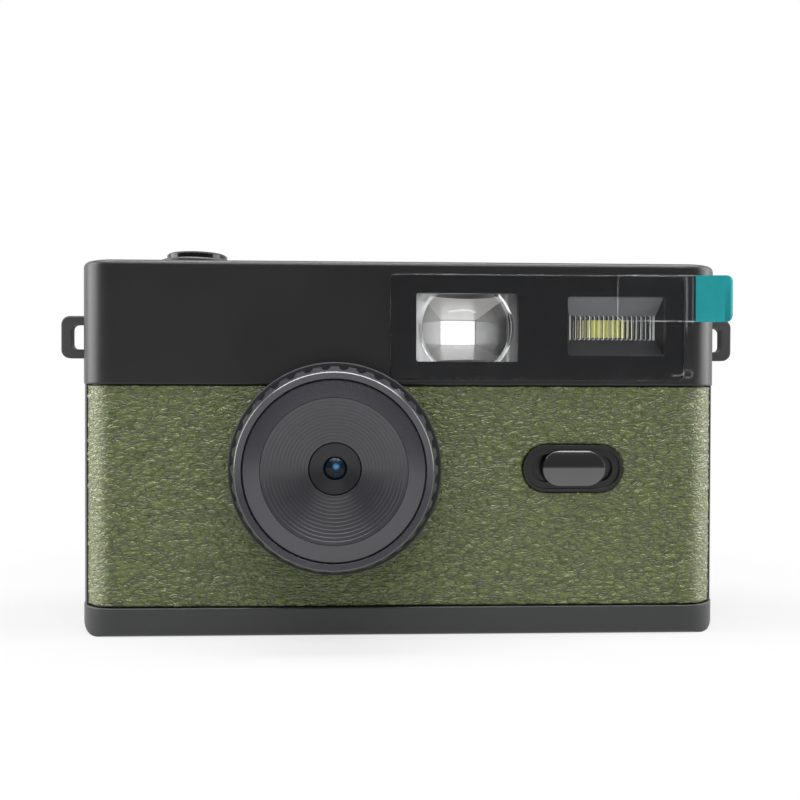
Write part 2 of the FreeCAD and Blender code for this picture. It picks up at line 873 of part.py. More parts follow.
flash_lens_front = inner_front + flash_depth
flash_lens_back = flash_lens_front + flash_lens_thickness
flash_board_front = flash_lens_back + flash_chamber
flash_lip_width = flash_lens_width + 2 * flash_lens_border
flash_lip_height = flash_lens_height + 2 * flash_lens_border
flash_lens_x = flash_x + flash_lens_offset
hood_width = max(flash_width, flash_lip_width + 2 * flash_lens_offset) + 2 * hood_wall
hood_height = max(flash_height, flash_lip_height) + 2 * hood_wall


def make_flash_hood():
    """Funnel from the window opening down to the ribbed lens, and the chamber behind that lens."""
    hood = plate(flash_x, flash_z, hood_width, hood_height, flash_corner, inner_front, flash_board_front)
    mouth = rounded_face(lambda u, v: V(u, inner_front, v), flash_x, flash_z, flash_width, flash_height, 0)
    throat = rounded_face(lambda u, v: V(u, flash_lens_front, v), flash_lens_x, flash_z, flash_lens_width,
                          flash_lens_height, 0)
    hood = hood.cut(Part.makeLoft([mouth.OuterWire, throat.OuterWire], True, True))
    return hood.cut(plate(flash_lens_x, flash_z, flash_lip_width + 2 * fit, flash_lip_height + 2 * fit, 0,
                          flash_lens_front, flash_board_front))


def make_flash_lens():
    """Clear plate with half-round upright ribs on its front, between the throat's edges."""
    lens = plate(flash_lens_x, flash_z, flash_lip_width, flash_lip_height, 0, flash_lens_front,
                 flash_lens_back)
    count = int(flash_lens_width / flash_rib_pitch) - 1
    ribs = []
    for index in range(count):
        x = flash_lens_x + (index - (count - 1) / 2) * flash_rib_pitch
        ribs.append(rod_z(x, flash_lens_front, flash_rib_radius, flash_z - flash_lens_height / 2 + fit,
                          flash_z + flash_lens_height / 2 - fit))
    return lens.fuse(ribs).removeSplitter()


def make_flash_leds():
    leds = []
    for side in (-1, 1):
        x = flash_x + led_offset + side * (led_width + led_gap) / 2
        leds.append(box(x - led_width / 2, x + led_width / 2, flash_board_front - led_thickness,
                        flash_board_front, flash_z - led_height / 2, flash_z + led_height / 2))
    return Part.makeCompound(leds)


def make_flash_board():
    return plate(flash_x, flash_z, hood_width, hood_height, flash_corner, flash_board_front,
                 flash_board_front + circuit_board_thickness)


sleeve_front = tip + ring_lip_length
lens_front_radius = sleeve_radius + ring_lip_width


def make_lens_base():
    """Drum on the body, spigot through the front wall and the sleeve that the ring turns on."""
    spigot_bore = spigot_radius - spigot_wall
    socket_back = front - socket_floor
    flange_edge = min(flange_edge_radius, flange_thickness * 0.6)
    points = [(spigot_bore, spigot_end), (spigot_radius, spigot_end), (spigot_radius, front),
              (flange_radius, front), (flange_radius, flange_front + flange_edge),
              (flange_radius - flange_edge, flange_front), (sleeve_radius, flange_front),
              (sleeve_radius, sleeve_front), (sleeve_radius - sleeve_wall, sleeve_front),
              (sleeve_radius - sleeve_wall, socket_back), (spigot_bore, socket_back)]
    base = turned_y(points, lens_x, lens_z)
    hole_end = inner_front - lens_screw_length - hole_spare / 2
    holes = [rod_y(x, z, screw_radius + running_fit, hole_end, front + over) for x, z in lens_screw_spots]
    return base.cut(holes + stop_groove())


def stop_groove():
    """Arc in the flange's face that lets the ring's stop pin travel, as a sector and two round ends."""
    half = stop_pin_radius + stop_clearance
    floor = flange_front + stop_pin_length + stop_clearance
    low = lens_z + stop_circle - half
    high = lens_z + stop_circle + half
    mouth = flange_front - over
    section = [V(lens_x, mouth, low), V(lens_x, floor, low), V(lens_x, floor, high), V(lens_x, mouth, high)]
    face = Part.Face(Part.makePolygon(section + section[:1]))
    centre = V(lens_x, 0, lens_z)
    face.rotate(centre, V(0, 1, 0), stop_start)
    sector = face.revolve(centre, V(0, 1, 0), ring_turn)
    ends = []
    for degrees in (stop_start, stop_start + ring_turn):
        x, z = around_lens(1, stop_circle, degrees / 360)[0]
        ends.append(rod_y(x, z, half, mouth, floor))
    return [sector] + ends


def make_lens_ring():
    """Knurled ring, narrower at its front, with a counterbore that the fixed front part keeps it in by."""
    ring_back = flange_front - ring_gap
    bore = sleeve_radius + running_fit
    counterbore = lens_front_radius + running_fit
    points = [(bore, ring_back), (ring_radius, ring_back), (ring_radius, tip + ring_taper_length),
              (ring_rim_radius, tip + ring_edge), (ring_rim_radius - ring_edge, tip),
              (counterbore, tip + ring_face_slope),
              (counterbore, sleeve_front + running_fit), (bore, sleeve_front + running_fit)]
    ring = turned_y(points, lens_x, lens_z)
    reach = ring_radius + knurl_cutter_radius - knurl_depth
    cutters = []
    for x, z in around_lens(knurl_count, reach, 0.5 / knurl_count):
        cutters.append(rod_y(x, z, knurl_cutter_radius, tip - over, ring_back + over))
    x, z = around_lens(1, stop_circle, stop_start / 360)[0]
    pin = rod_y(x, z, stop_pin_radius, ring_back - stop_pin_length, flange_front + stop_pin_length)
    return ring.cut(cutters).fuse(pin)


front_plug_radius = sleeve_radius - sleeve_wall - running_fit
baffle_radius = slope_inner_radius - running_fit
baffle_bore = barrel_radius + barrel_gap
baffle_front = tip + slope_inner_drop + baffle_sink
baffle_back = baffle_front + baffle_drop + baffle_thickness
front_plug_end = baffle_back + baffle_ledge_length


def make_lens_front():
    """Fixed front ring: it slopes forward from its edge, plugs into the sleeve and carries the baffle."""
    ledge = slope_inner_radius - baffle_ledge
    slope_front = tip + slope_outer_drop
    points = [(lens_front_radius, sleeve_front), (lens_front_radius, slope_front + slope_outer_edge),
              (lens_front_radius - slope_outer_edge, slope_front),
              (slope_inner_radius, tip + slope_inner_drop), (slope_inner_radius, baffle_back),
              (ledge, baffle_back), (ledge, front_plug_end),
              (front_plug_radius, front_plug_end), (front_plug_radius, sleeve_front)]
    return turned_y(points, lens_x, lens_z)


def make_stepped_baffle():
    """Dished plate that goes down in steps towards the barrel, to keep stray light out."""
    step_width = (baffle_radius - baffle_bore) / baffle_steps
    step_drop = baffle_drop / baffle_steps
    points = [(baffle_radius, baffle_front)]
    for index in range(baffle_steps):
        radius = baffle_radius - step_width * (index + 1)
        level = baffle_front + step_drop * index
        points.append((radius, level + step_drop * baffle_tread_share))
        points.append((radius, level + step_drop))
    points.append((baffle_bore, baffle_back))
    points.append((baffle_radius, baffle_back))
    return turned_y(points, lens_x, lens_z)


holder_front = sensor_board_front - holder_depth
holder_ceiling = holder_front + holder_roof
barrel_front = tip + barrel_face_drop
barrel_back = holder_ceiling - barrel_focus_gap
glass_seat = barrel_front + barrel_dish


def make_lens_barrel():
    """Small barrel with a dished face, screwed into the holder at its back."""
    step = holder_front - barrel_focus_gap
    path_front = glass_seat + front_glass_thickness
    path_back = barrel_back - rear_glass_thickness
    points = [(front_glass_radius, glass_seat), (barrel_radius - barrel_edge, barrel_front),
              (barrel_radius, barrel_front + barrel_edge), (barrel_radius, step), (barrel_rear_radius, step),
              (barrel_rear_radius, barrel_back), (rear_glass_radius, barrel_back),
              (rear_glass_radius, path_back), (light_path_radius, path_back),
              (light_path_radius, path_front), (front_glass_radius, path_front)]
    return turned_y(points, lens_x, lens_z)


def make_front_glass():
    crown = glass_seat - front_glass_crown
    blank = rod_y(lens_x, lens_z, front_glass_radius, crown, glass_seat + front_glass_thickness)
    ball = Part.makeSphere(front_glass_curve, V(lens_x, crown + front_glass_curve, lens_z))
    return blank.common(ball)


def make_rear_glass():
    return rod_y(lens_x, lens_z, rear_glass_radius, barrel_back - rear_glass_thickness, barrel_back)


def make_lens_holder():
    holder = plate(lens_x, lens_z, holder_size, holder_size, board_corner, holder_front, sensor_board_front)
    bore = barrel_rear_radius + running_fit
    holder = holder.cut(rod_y(lens_x, lens_z, bore, holder_front - over, holder_ceiling + over))
    return holder.cut(plate(lens_x, lens_z, holder_cavity, holder_cavity, small_corner, holder_ceiling,
                            sensor_board_front + over))


def make_infrared_filter():
    return plate(lens_x, lens_z, filter_size, filter_size, small_corner, holder_ceiling,
                 holder_ceiling + filter_thickness)


def make_image_sensor():
    return plate(lens_x, lens_z, sensor_width, sensor_height, 0, sensor_board_front - sensor_thickness,
                 sensor_board_front)


def make_sensor_board():
    board = plate(lens_x, lens_z, 2 * sensor_board_half, sensor_board_height, board_corner,
                  sensor_board_front, sensor_board_back)
    return board.cut([rod_y(x, z, screw_radius + fit, front, back) for x, z in sensor_board_posts])


def make_sensor_ribbon():
    """Flat cable from the back of the sensor board to the front of the main board."""
    near_y = sensor_board_back
    far_y = main_board_front - ribbon_thickness
    board_end = lens_x + sensor_board_half
    bend = (main_board_left - board_end) / 3
    near = [V(board_end - ribbon_overlap, near_y, 0), V(board_end + bend, near_y, 0),
            V(main_board_left - bend, far_y, 0), V(main_board_left + ribbon_overlap, far_y, 0)]
    far = [V(p.x, p.y + ribbon_thickness, 0) for p in reversed(near)]
    face = Part.Face(Part.makePolygon(near + far + near[:1]))
    face.translate(V(0, 0, lens_z - ribbon_drop - ribbon_width / 2))
    return face.extrude(V(0, 0, ribbon_width))


def make_main_board():
    """Main board, with an ear between the case posts that carries the two sockets."""
    board = box(main_board_left, main_board_right, main_board_front, main_board_back,
                main_board_bottom, main_board_top)
    ear_low = case_screw_low + case_post_radius + ear_gap
    ear_high = case_screw_high - case_post_radius - ear_gap
    ear = box(main_board_right - over, ear_right, main_board_front, main_board_back, ear_low, ear_high)
    board = board.fuse(ear).removeSplitter()
    return board.cut([rod_y(x, z, screw_radius + fit, front, back) for x, z in main_board_posts])


def make_board_chips():
    """Processor, memory and power chips on the back of the main board."""
    middle_x = (main_board_left + main_board_right) / 2
    middle_z = (main_board_bottom + main_board_top) / 2
    chips = []
    for dx, dz, width, height, thickness in chip_layout:
        x = middle_x + dx
        z = middle_z + dz
        chips.append(box(x - width / 2, x + width / 2, main_board_back, main_board_back + thickness,
                         z - height / 2, z + height / 2))
    return Part.makeCompound(chips)


def make_usb_socket():
    """Steel shell with rounded ends, and the tongue in it."""
    mouth = end - middle_inset - usb_inset
    shell = side_plate(usb_y, usb_z, usb_height, usb_width, usb_height / 2, mouth - usb_length, mouth)
    inner_height = usb_height - 2 * usb_wall
    hollow = side_plate(usb_y, usb_z, inner_height, usb_width - 2 * usb_wall, inner_height / 2,
                        mouth - usb_depth, mouth + over)
    half_width = usb_tongue_width / 2
    half_thickness = usb_tongue_thickness / 2
    tongue = box(mouth - usb_depth - usb_wall, mouth - usb_tongue_inset, usb_y - half_thickness,
                 usb_y + half_thickness, usb_z - half_width, usb_z + half_width)
    return shell.cut(hollow).fuse(tongue)


def make_card_socket():
    mouth = end - wall - card_socket_inset
    inner_end = mouth - card_socket_length
    shell = side_plate(card_y, card_z, card_socket_height, card_socket_width, 0, inner_end, mouth)
    hollow = side_plate(card_y, card_z, card_slot_height, card_slot_width, 0, inner_end + card_socket_end,
                        mouth + over)
    return shell.cut(hollow)


def make_battery():
    return plate((battery_left + battery_right) / 2, (battery_bottom + battery_top) / 2,
                 battery_right - battery_left, battery_top - battery_bottom, battery_edge,
                 inner_back - battery_thickness, inner_back)


def make_shutter_button():
    """Domed cap, stem, and the flange that stops it at the collar's floor."""
    rim = shutter_radius - shutter_edge
    shoulder = button_top - shutter_dome
    points = [(0, button_under), (shutter_radius, button_under), (shutter_radius, shoulder - shutter_edge),
              (rim, shoulder), (0, shoulder)]
    cap = turned_z(points, shutter_x, shutter_y)
    curve = (rim ** 2 + shutter_dome ** 2) / (2 * shutter_dome)
    ball = Part.makeSphere(curve, V(shutter_x, shutter_y, button_top - curve))
    dome = rod_z(shutter_x, shutter_y, rim, shoulder - shutter_edge, button_top + over).common(ball)
    stem = rod_z(shutter_x, shutter_y, stem_radius, stem_end, button_under)
    flange_top = collar_low - running_fit
    flange = rod_z(shutter_x, shutter_y, stem_flange_radius, flange_top - stem_flange_thickness, flange_top)
    return cap.fuse([dome, stem, flange]).removeSplitter()


def make_shutter_collar():
    """Ring round the button, with a neck through the roof and a floor that carries the spring."""
    bore = shutter_radius + button_clearance
    edge = collar_edge_radius
    points = [(stem_radius + button_clearance, collar_low), (collar_neck_radius, collar_low),
              (collar_neck_radius, top), (collar_radius, top), (collar_radius, collar_top - edge),
              (collar_radius - edge, collar_top), (bore + edge, collar_top), (bore, collar_top - edge),
              (bore, collar_low + collar_floor), (stem_radius + button_clearance, collar_low + collar_floor)]
    return turned_z(points, shutter_x, shutter_y)


def make_shutter_spring():
    """Open coil between the collar's floor and the cap."""
    low = collar_low + collar_floor + spring_wire_radius + spring_gap
    high = button_under - spring_wire_radius - spring_gap
    radius = (stem_radius + shutter_radius) / 2
    coil = Part.makeHelix((high - low) / spring_turns, high - low, radius)
    start = V(radius, 0, 0)
    section = Part.Wire(Part.makeCircle(spring_wire_radius, start, V(0, 1, 0)))
    solid = Part.Wire(coil).makePipeShell([section], True, True)
    solid.translate(V(shutter_x, shutter_y, low))
    return solid


def make_shutter_plunger():
    return rod_z(shutter_x, shutter_y, plunger_radius, stem_end - plunger_proud - plunger_depth, stem_end)


def make_shutter_switch():
    half = tact_size / 2
    body = box(shutter_x - half, shutter_x + half, shutter_y - half, shutter_y + half,
               shutter_board_top, tact_top)
    well = tact_top - plunger_depth - shutter_travel - plunger_spare
    return body.cut(rod_z(shutter_x, shutter_y, plunger_radius + fit, well, tact_top + over))


def make_shutter_board():
    board = slab(shutter_board_width, shutter_board_depth, board_corner, shutter_board_low, shutter_board_top,
                 shutter_x, shutter_y)
    return board.cut([rod_z(x, y, screw_radius + fit, 0, top) for x, y in shutter_board_posts])


switch_floor_front = middle_front + switch_recess
switch_floor_back = switch_floor_front + switch_floor
switch_lip_front = middle_front + switch_lip
slot_width = knob_stem_width + 2 * switch_travel + 4 * fit
slot_height = knob_stem_height + 2 * fit


def make_switch_bezel():
    """Stadium tray: its rim lies in the leather's opening and its floor has the knob's slot."""
    rim_back = middle_front + leather_thickness
    rim = plate(switch_x, switch_z, switch_width, switch_height, body_width, middle_front, rim_back)
    tray = plate(switch_x, switch_z, switch_tray_width, switch_tray_height, body_width, rim_back,
                 switch_floor_back)
    lip = plate(switch_x, switch_z, switch_width - 2 * switch_rim, switch_height - 2 * switch_rim, body_width,
                front - over, switch_lip_front)
    well = plate(switch_x, switch_z, switch_tray_width - 2 * switch_well_wall,
                 switch_tray_height - 2 * switch_well_wall, body_width, front - over, switch_floor_front)
    slot = plate(switch_x, switch_z, slot_width, slot_height, knob_stem_corner, front - over, 0)
    return rim.fuse(tray).cut([lip, well, slot])


knob_back = switch_lip_front - knob_floor_gap
knob_front = middle_front - knob_proud
lever_front = main_board_front - slide_body_thickness - lever_proud


def make_flash_switch_knob():
    """Rounded knob with a stem through the tray's slot; a fork at its end holds the lever."""
    knob = plate(switch_x, switch_z, knob_width, knob_height, body_width, knob_front, knob_back)
    crown = min(knob_crown, (knob_back - knob_front) * 0.8)
    half = knob_height / 2
    curve = (half ** 2 + crown ** 2) / (2 * crown)
    roller = Part.makeCylinder(curve, body_width, V(0, knob_front + curve, switch_z), V(1, 0, 0))
    knob = knob.common(roller)
    stem_back = lever_front + fork_overlap
    stem = plate(switch_x, switch_z, knob_stem_width, knob_stem_height, knob_stem_corner,
                 knob_back - knob_edge, stem_back)
    half_notch = lever_width / 2 + running_fit
    notch = box(switch_x - half_notch, switch_x + half_notch, lever_front - running_fit, stem_back + over,
                switch_z - knob_stem_height, switch_z + knob_stem_height)
    return knob.fuse(stem).cut(notch).removeSplitter()


def make_slide_switch():
    slide_front = main_board_front - slide_body_thickness
    body = plate(switch_x, switch_z, slide_body_width, slide_body_height, knob_stem_corner, slide_front,
                 main_board_front)
    track_width = lever_width + 2 * switch_travel + 4 * fit
    track_floor = main_board_front - slide_slot_floor
    track = plate(switch_x, switch_z, track_width, lever_height + 2 * fit, 0, slide_front - over, track_floor)
    return body.cut(track)


def make_slide_lever():
    lever_back = main_board_front - lever_root
    return plate(switch_x, switch_z, lever_width, lever_height, 0, lever_front, lever_back)


power_flange_back = inner_back - running_fit
power_flange_front = power_flange_back - power_flange_thickness
power_stem_end = power_flange_front - power_stem_length
power_tact_top = power_stem_end - plunger_proud


def make_power_button():
    button = rod_y(control_x, power_z, power_radius, power_flange_front, back + power_proud)
    rim = [e for e in button.Edges if e.BoundBox.YMin > back + power_proud - tiny]
    button = button.makeFillet(min(power_edge_radius, power_proud * 0.8), rim)
    flange = rod_y(control_x, power_z, power_flange_radius, power_flange_front, power_flange_back)
    stem = rod_y(control_x, power_z, plunger_radius, power_stem_end, power_flange_front)
    return button.fuse([flange, stem]).removeSplitter()


def make_power_plunger():
    return rod_y(control_x, power_z, plunger_radius, power_tact_top - plunger_depth, power_stem_end)


def make_power_switch():
    body = plate(control_x, power_z, tact_size, tact_size, 0, control_board_back, power_tact_top)
    well = power_tact_top - plunger_depth - power_travel - plunger_spare
    return body.cut(rod_y(control_x, power_z, plunger_radius + fit, well, back))


def make_control_board():
    middle = (control_board_bottom + control_board_top) / 2
    board = plate(control_x, middle, control_board_width, control_board_top - control_board_bottom,
                  board_corner, control_board_front, control_board_back)
    return board.cut([rod_y(x, z, screw_radius + fit, front, back) for x, z in control_posts])


def make_status_led():
    return plate(control_x, light_z, status_led_width, status_led_height, 0, control_board_back,
                 control_board_back + status_led_thickness)


def make_status_light():
    near = control_board_back + status_led_thickness + status_led_gap
    rod = rod_y(control_x, light_z, light_radius, near, back - middle_inset + light_proud)
    collar_front = inner_back - light_collar_length
    collar = rod_y(control_x, light_z, light_radius + light_collar, collar_front, inner_back)
    return rod.fuse(collar).removeSplitter()


def make_buzzer():
    can = rod_y(buzzer_x, buzzer_z, buzzer_radius, inner_front, inner_front + buzzer_thickness)
    floor = inner_front + buzzer_thickness - buzzer_hole_depth
    return can.cut(rod_y(buzzer_x, buzzer_z, buzzer_hole_radius, floor, inner_back))


def make_strap_lug(side):
    """D-shaped loop with a root plate that bears on the inside of the cover's end wall."""
    inner = end - wall
    outer = end + lug_reach
    near = lug_y - lug_thickness / 2
    far = lug_y + lug_thickness / 2
    loop = plate((inner + outer) / 2, lug_z, outer - inner, lug_height, lug_corner, near, far)
    square = box(inner, end, near, far, lug_z - lug_height / 2, lug_z + lug_height / 2)
    loop = loop.fuse(square).removeSplitter()
    rounded = []
    for edge in loop.Edges:
        bounds = edge.BoundBox
        if bounds.XMax > end + lug_hole_inset and bounds.YMax - bounds.YMin < tiny:
            rounded.append(edge)
    loop = loop.makeFillet(min(lug_edge_radius, lug_thickness * 0.3), rounded)
    hole_left = end + lug_hole_inset
    hole_right = outer - lug_bar
    loop = loop.cut(plate((hole_left + hole_right) / 2, lug_z, hole_right - hole_left, lug_hole_height,
                          lug_hole_corner, front, back))
    root_tall = lug_height / 2 + lug_root_border
    root = box(inner - lug_root_thickness, inner, near - lug_root_border, far + lug_root_border,
               lug_z - root_tall, lug_z + root_tall)
    lug = loop.fuse(root).removeSplitter()
    if side < 0:
        lug = lug.mirror(V(0, 0, 0), V(1, 0, 0))
    return lug


def make_case_screws():
    seats = [V(x, case_screw_seat, z) for x, z in case_screw_spots]
    return placed_screws(case_screw_length, seats, V(0, 1, 0))


def make_base_screws():
    seats = [V(x, y, base_screw_sink) for x, y in base_screw_spots]
    return placed_screws(base_screw_length, seats, V(0, 0, -1))


def make_board_screws():
    """Screws of the main, sensor, control and shutter boards."""
    main_seats = [V(x, main_board_back, z) for x, z in main_board_posts]
    sensor_seats = [V(x, sensor_board_back, z) for x, z in sensor_board_posts]
    control_seats = [V(x, control_board_front, z) for x, z in control_posts]
    shutter_seats = [V(x, y, shutter_board_low) for x, y in shutter_board_posts]
    main = placed_screws(board_screw_length, main_seats, V(0, 1, 0))
    sensor = placed_screws(sensor_screw_length, sensor_seats, V(0, 1, 0))
    control = placed_screws(board_screw_length, control_seats, V(0, -1, 0))
    shutter = placed_screws(board_screw_length, shutter_seats, V(0, 0, -1))
    return Part.makeCompound(main.Solids + sensor.Solids + control.Solids + shutter.Solids)


def make_lens_screws():
    seats = [V(x, inner_front, z) for x, z in lens_screw_spots]
    return placed_screws(lens_screw_length, seats, V(0, 1, 0))


parts = {
    "base_plate": make_base_plate(),
    "front_shell": make_front_shell(),
    "rear_shell": make_rear_shell(),
    "leather_covering": make_leather_covering(),
    "top_cover": make_top_cover(),
    "window_cover": make_window_cover(),
    "window_mask": make_window_mask(),
    "protective_film": make_protective_film(),
    "pull_tab": make_pull_tab(),
    "viewfinder_lens": make_viewfinder_lens(),
    "viewfinder_tunnel": make_viewfinder_tunnel(),
    "eyepiece_bezel": make_eyepiece_bezel(),
    "eyepiece_lens": make_eyepiece_lens(),
    "flash_hood": make_flash_hood(),
    "flash_lens": make_flash_lens(),
    "flash_leds": make_flash_leds(),
    "flash_board": make_flash_board(),
    "lens_base": make_lens_base(),
    "lens_ring": make_lens_ring(),
    "lens_front": make_lens_front(),
    "stepped_baffle": make_stepped_baffle(),
    "lens_barrel": make_lens_barrel(),
    "front_glass": make_front_glass(),
    "rear_glass": make_rear_glass(),
    "lens_holder": make_lens_holder(),
    "infrared_filter": make_infrared_filter(),
    "image_sensor": make_image_sensor(),
    "sensor_board": make_sensor_board(),
    "sensor_ribbon": make_sensor_ribbon(),
    "main_board": make_main_board(),
    "board_chips": make_board_chips(),
    "usb_socket": make_usb_socket(),
    "card_socket": make_card_socket(),
    "battery": make_battery(),
    "shutter_button": make_shutter_button(),
    "shutter_collar": make_shutter_collar(),
    "shutter_spring": make_shutter_spring(),
    "shutter_plunger": make_shutter_plunger(),
    "shutter_switch": make_shutter_switch(),
    "shutter_board": make_shutter_board(),
    "switch_bezel": make_switch_bezel(),
    "flash_switch_knob": make_flash_switch_knob(),
    "slide_switch": make_slide_switch(),
    "slide_lever": make_slide_lever(),
    "power_button": make_power_button(),
    "power_plunger": make_power_plunger(),
    "power_switch": make_power_switch(),
    "control_board": make_control_board(),
    "status_led": make_status_led(),
    "status_light": make_status_light(),
    "buzzer": make_buzzer(),
    "strap_lug_left": make_strap_lug(-1),
    "strap_lug_right": make_strap_lug(1),
    "case_screws": make_case_screws(),
    "base_screws": make_base_screws(),
    "board_screws": make_board_screws(),
    "lens_screws": make_lens_screws(),
}

os.makedirs("parts", exist_ok=True)
for name, shape in parts.items():
    shape.exportStep("parts/" + name + ".step")
    print(name, len(shape.Solids), round(shape.Volume, 2), shape.isValid())
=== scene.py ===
# %% [markdown]
# # A small box camera with no screen
#
# The camera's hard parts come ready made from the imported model. This lesson dresses them: it builds the
# soft and thin pieces that a solid model can't show well, gives every piece its own material, and sets
# up the floor, the lamps and the camera.
#
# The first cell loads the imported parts. They are in metres, with the lens looking along -Y and +Z up, and
# nothing that is loaded is moved or reshaped.

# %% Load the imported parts
import math

import bmesh
import bpy
from mathutils import Matrix, Vector, noise


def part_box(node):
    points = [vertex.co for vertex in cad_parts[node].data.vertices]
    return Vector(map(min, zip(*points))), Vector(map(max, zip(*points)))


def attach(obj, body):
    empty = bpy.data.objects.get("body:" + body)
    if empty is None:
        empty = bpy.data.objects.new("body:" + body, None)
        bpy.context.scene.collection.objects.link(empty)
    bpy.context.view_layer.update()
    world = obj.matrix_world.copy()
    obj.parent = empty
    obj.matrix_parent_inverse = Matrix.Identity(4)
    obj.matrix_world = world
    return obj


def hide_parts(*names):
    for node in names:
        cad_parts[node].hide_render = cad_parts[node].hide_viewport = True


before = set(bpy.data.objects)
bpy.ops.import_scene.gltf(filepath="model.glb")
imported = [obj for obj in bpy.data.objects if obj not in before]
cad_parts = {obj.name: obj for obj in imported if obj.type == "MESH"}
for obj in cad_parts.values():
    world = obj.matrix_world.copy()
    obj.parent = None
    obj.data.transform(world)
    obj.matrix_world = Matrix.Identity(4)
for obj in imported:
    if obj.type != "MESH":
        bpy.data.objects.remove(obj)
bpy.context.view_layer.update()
mm = 0.001

# %% [markdown]
# ## Shader maths as plain arithmetic
#
# A material is a graph of small nodes. Wiring each sum by hand is slow to write and slower to read, so one
# small class wraps a socket and lets Python's own operators add the Math nodes. Anything that isn't
# arithmetic goes through its `node` method, which sets a node's options first and then feeds its sockets.

# %% A socket that does arithmetic
class Wire:
    """One value on its way through a material."""

    def __init__(self, tree, socket=None):
        self.tree = tree
        self.socket = socket

    def node(self, kind, settings, sockets, output=0):
        """Adds a node, sets its options, feeds its sockets and returns one output."""
        new = self.tree.nodes.new(kind)
        for name, value in settings.items():
            setattr(new, name, value)
        for name, value in sockets.items():
            if isinstance(value, Wire):
                self.tree.links.new(value.socket, new.inputs[name])
            else:
                new.inputs[name].default_value = value
        return Wire(self.tree, new.outputs[output] if new.outputs else None)

    def maths(self, operation, first, second=0.0, clamp=False):
        return self.node("ShaderNodeMath", {"operation": operation, "use_clamp": clamp}, {0: first, 1: second})

    def __add__(self, other):
        return self.maths("ADD", self, other)

    def __radd__(self, other):
        return self.maths("ADD", other, self)

    def __sub__(self, other):
        return self.maths("SUBTRACT", self, other)

    def __rsub__(self, other):
        return self.maths("SUBTRACT", other, self)

    def __mul__(self, other):
        return self.maths("MULTIPLY", self, other)

    def __pow__(self, other):
        return self.maths("POWER", self, other)

    def clamped(self):
        return self.maths("ADD", self, 0.0, clamp=True)


# %% [markdown]
# ## Ingredients
#
# Most finishes need the same few ingredients: a place on the piece, cloudy noise, small cells, and a way to
# fade one colour into another. Each becomes one short function, so a material reads as a recipe. Positions
# are Object coordinates in metres, so a noise scale of 1000 has one feature to the millimetre.

# %% Ingredients that all finishes share
def new_finish(name):
    """An empty material, and a wire to start its recipe from."""
    material = bpy.data.materials.new(name)
    material.use_nodes = True
    material.node_tree.nodes.clear()
    return material, Wire(material.node_tree)


def place(start, stretch=(1, 1, 1)):
    """Where a point is on the piece, stretched to make long or flat patterns."""
    spot = start.node("ShaderNodeTexCoord", {}, {}, "Object")
    return start.node("ShaderNodeMapping", {}, {"Vector": spot, "Scale": stretch})


def cloud(where, scale, detail=2.0, roughness=0.5):
    return where.node("ShaderNodeTexNoise", {}, {"Vector": where, "Scale": scale, "Detail": detail,
                                                 "Roughness": roughness})


def cells(where, scale, feature="F1", randomness=1.0):
    return where.node("ShaderNodeTexVoronoi", {"feature": feature},
                      {"Vector": where, "Scale": scale, "Randomness": randomness}, "Distance")


def steps(value, low, high, to_low=0.0, to_high=1.0):
    """Carries a value from one range to another with soft ends."""
    return value.node("ShaderNodeMapRange", {"interpolation_type": "SMOOTHSTEP"},
                      {"Value": value, "From Min": low, "From Max": high, "To Min": to_low, "To Max": to_high})


def blend_colours(share, first, second):
    first = (*first, 1.0) if isinstance(first, tuple) else first
    second = (*second, 1.0) if isinstance(second, tuple) else second
    return share.node("ShaderNodeMix", {"data_type": "RGBA"}, {0: share, 6: first, 7: second}, 2)


def bumped(height, depth, strength=1.0, under=None):
    """Small relief, over a normal that is already there if one is given."""
    sockets = {"Height": height, "Distance": depth, "Strength": strength}
    if under is not None:
        sockets["Normal"] = under
    return height.node("ShaderNodeBump", {}, sockets)


def principled(start, sockets):
    return start.node("ShaderNodeBsdfPrincipled", {}, sockets)


def finish_with(material, shader):
    shader.node("ShaderNodeOutputMaterial", {"target": "ALL"}, {"Surface": shader})
    return material


# %% [markdown]
# ## Edges
#
# No moulded edge is quite sharp, and without a small radius it would catch no light. Rounding every edge of
# every solid would cost many faces, so the Bevel node turns the normals there instead. How far it turns them
# also tells how near an edge is, and that is where plastic rubs pale.

# %% Rounded and rubbed edges
def soft_edges(start, radius):
    """Normals turned round at sharp edges, as every moulded edge has a small radius."""
    return start.node("ShaderNodeBevel", {"samples": 6}, {"Radius": radius})


def worn_edges(start, rounded):
    """How near a point is to an edge, from how far its rounded normal turns from the true one."""
    flat = start.node("ShaderNodeNewGeometry", {}, {}, "Normal")
    agreement = start.node("ShaderNodeVectorMath", {"operation": "DOT_PRODUCT"}, {0: rounded, 1: flat}, "Value")
    return steps(1.0 - agreement, 0.02, 0.25)


# %% [markdown]
# ## Moulded black plastic
#
# The covers, shells and lens rings are black plastic from a spark-eroded mould. That leaves a satin grain
# of about 0.15 mm, slightly uneven from part to part. A flat black looks like a hole in the picture, so the
# grain drives a shallow bump, broad clouds vary the roughness, handling leaves hairline scratches, and the
# edges are a touch paler where they rub.

# %% Black plastic, from satin to gloss
grain_size = 0.15 * mm


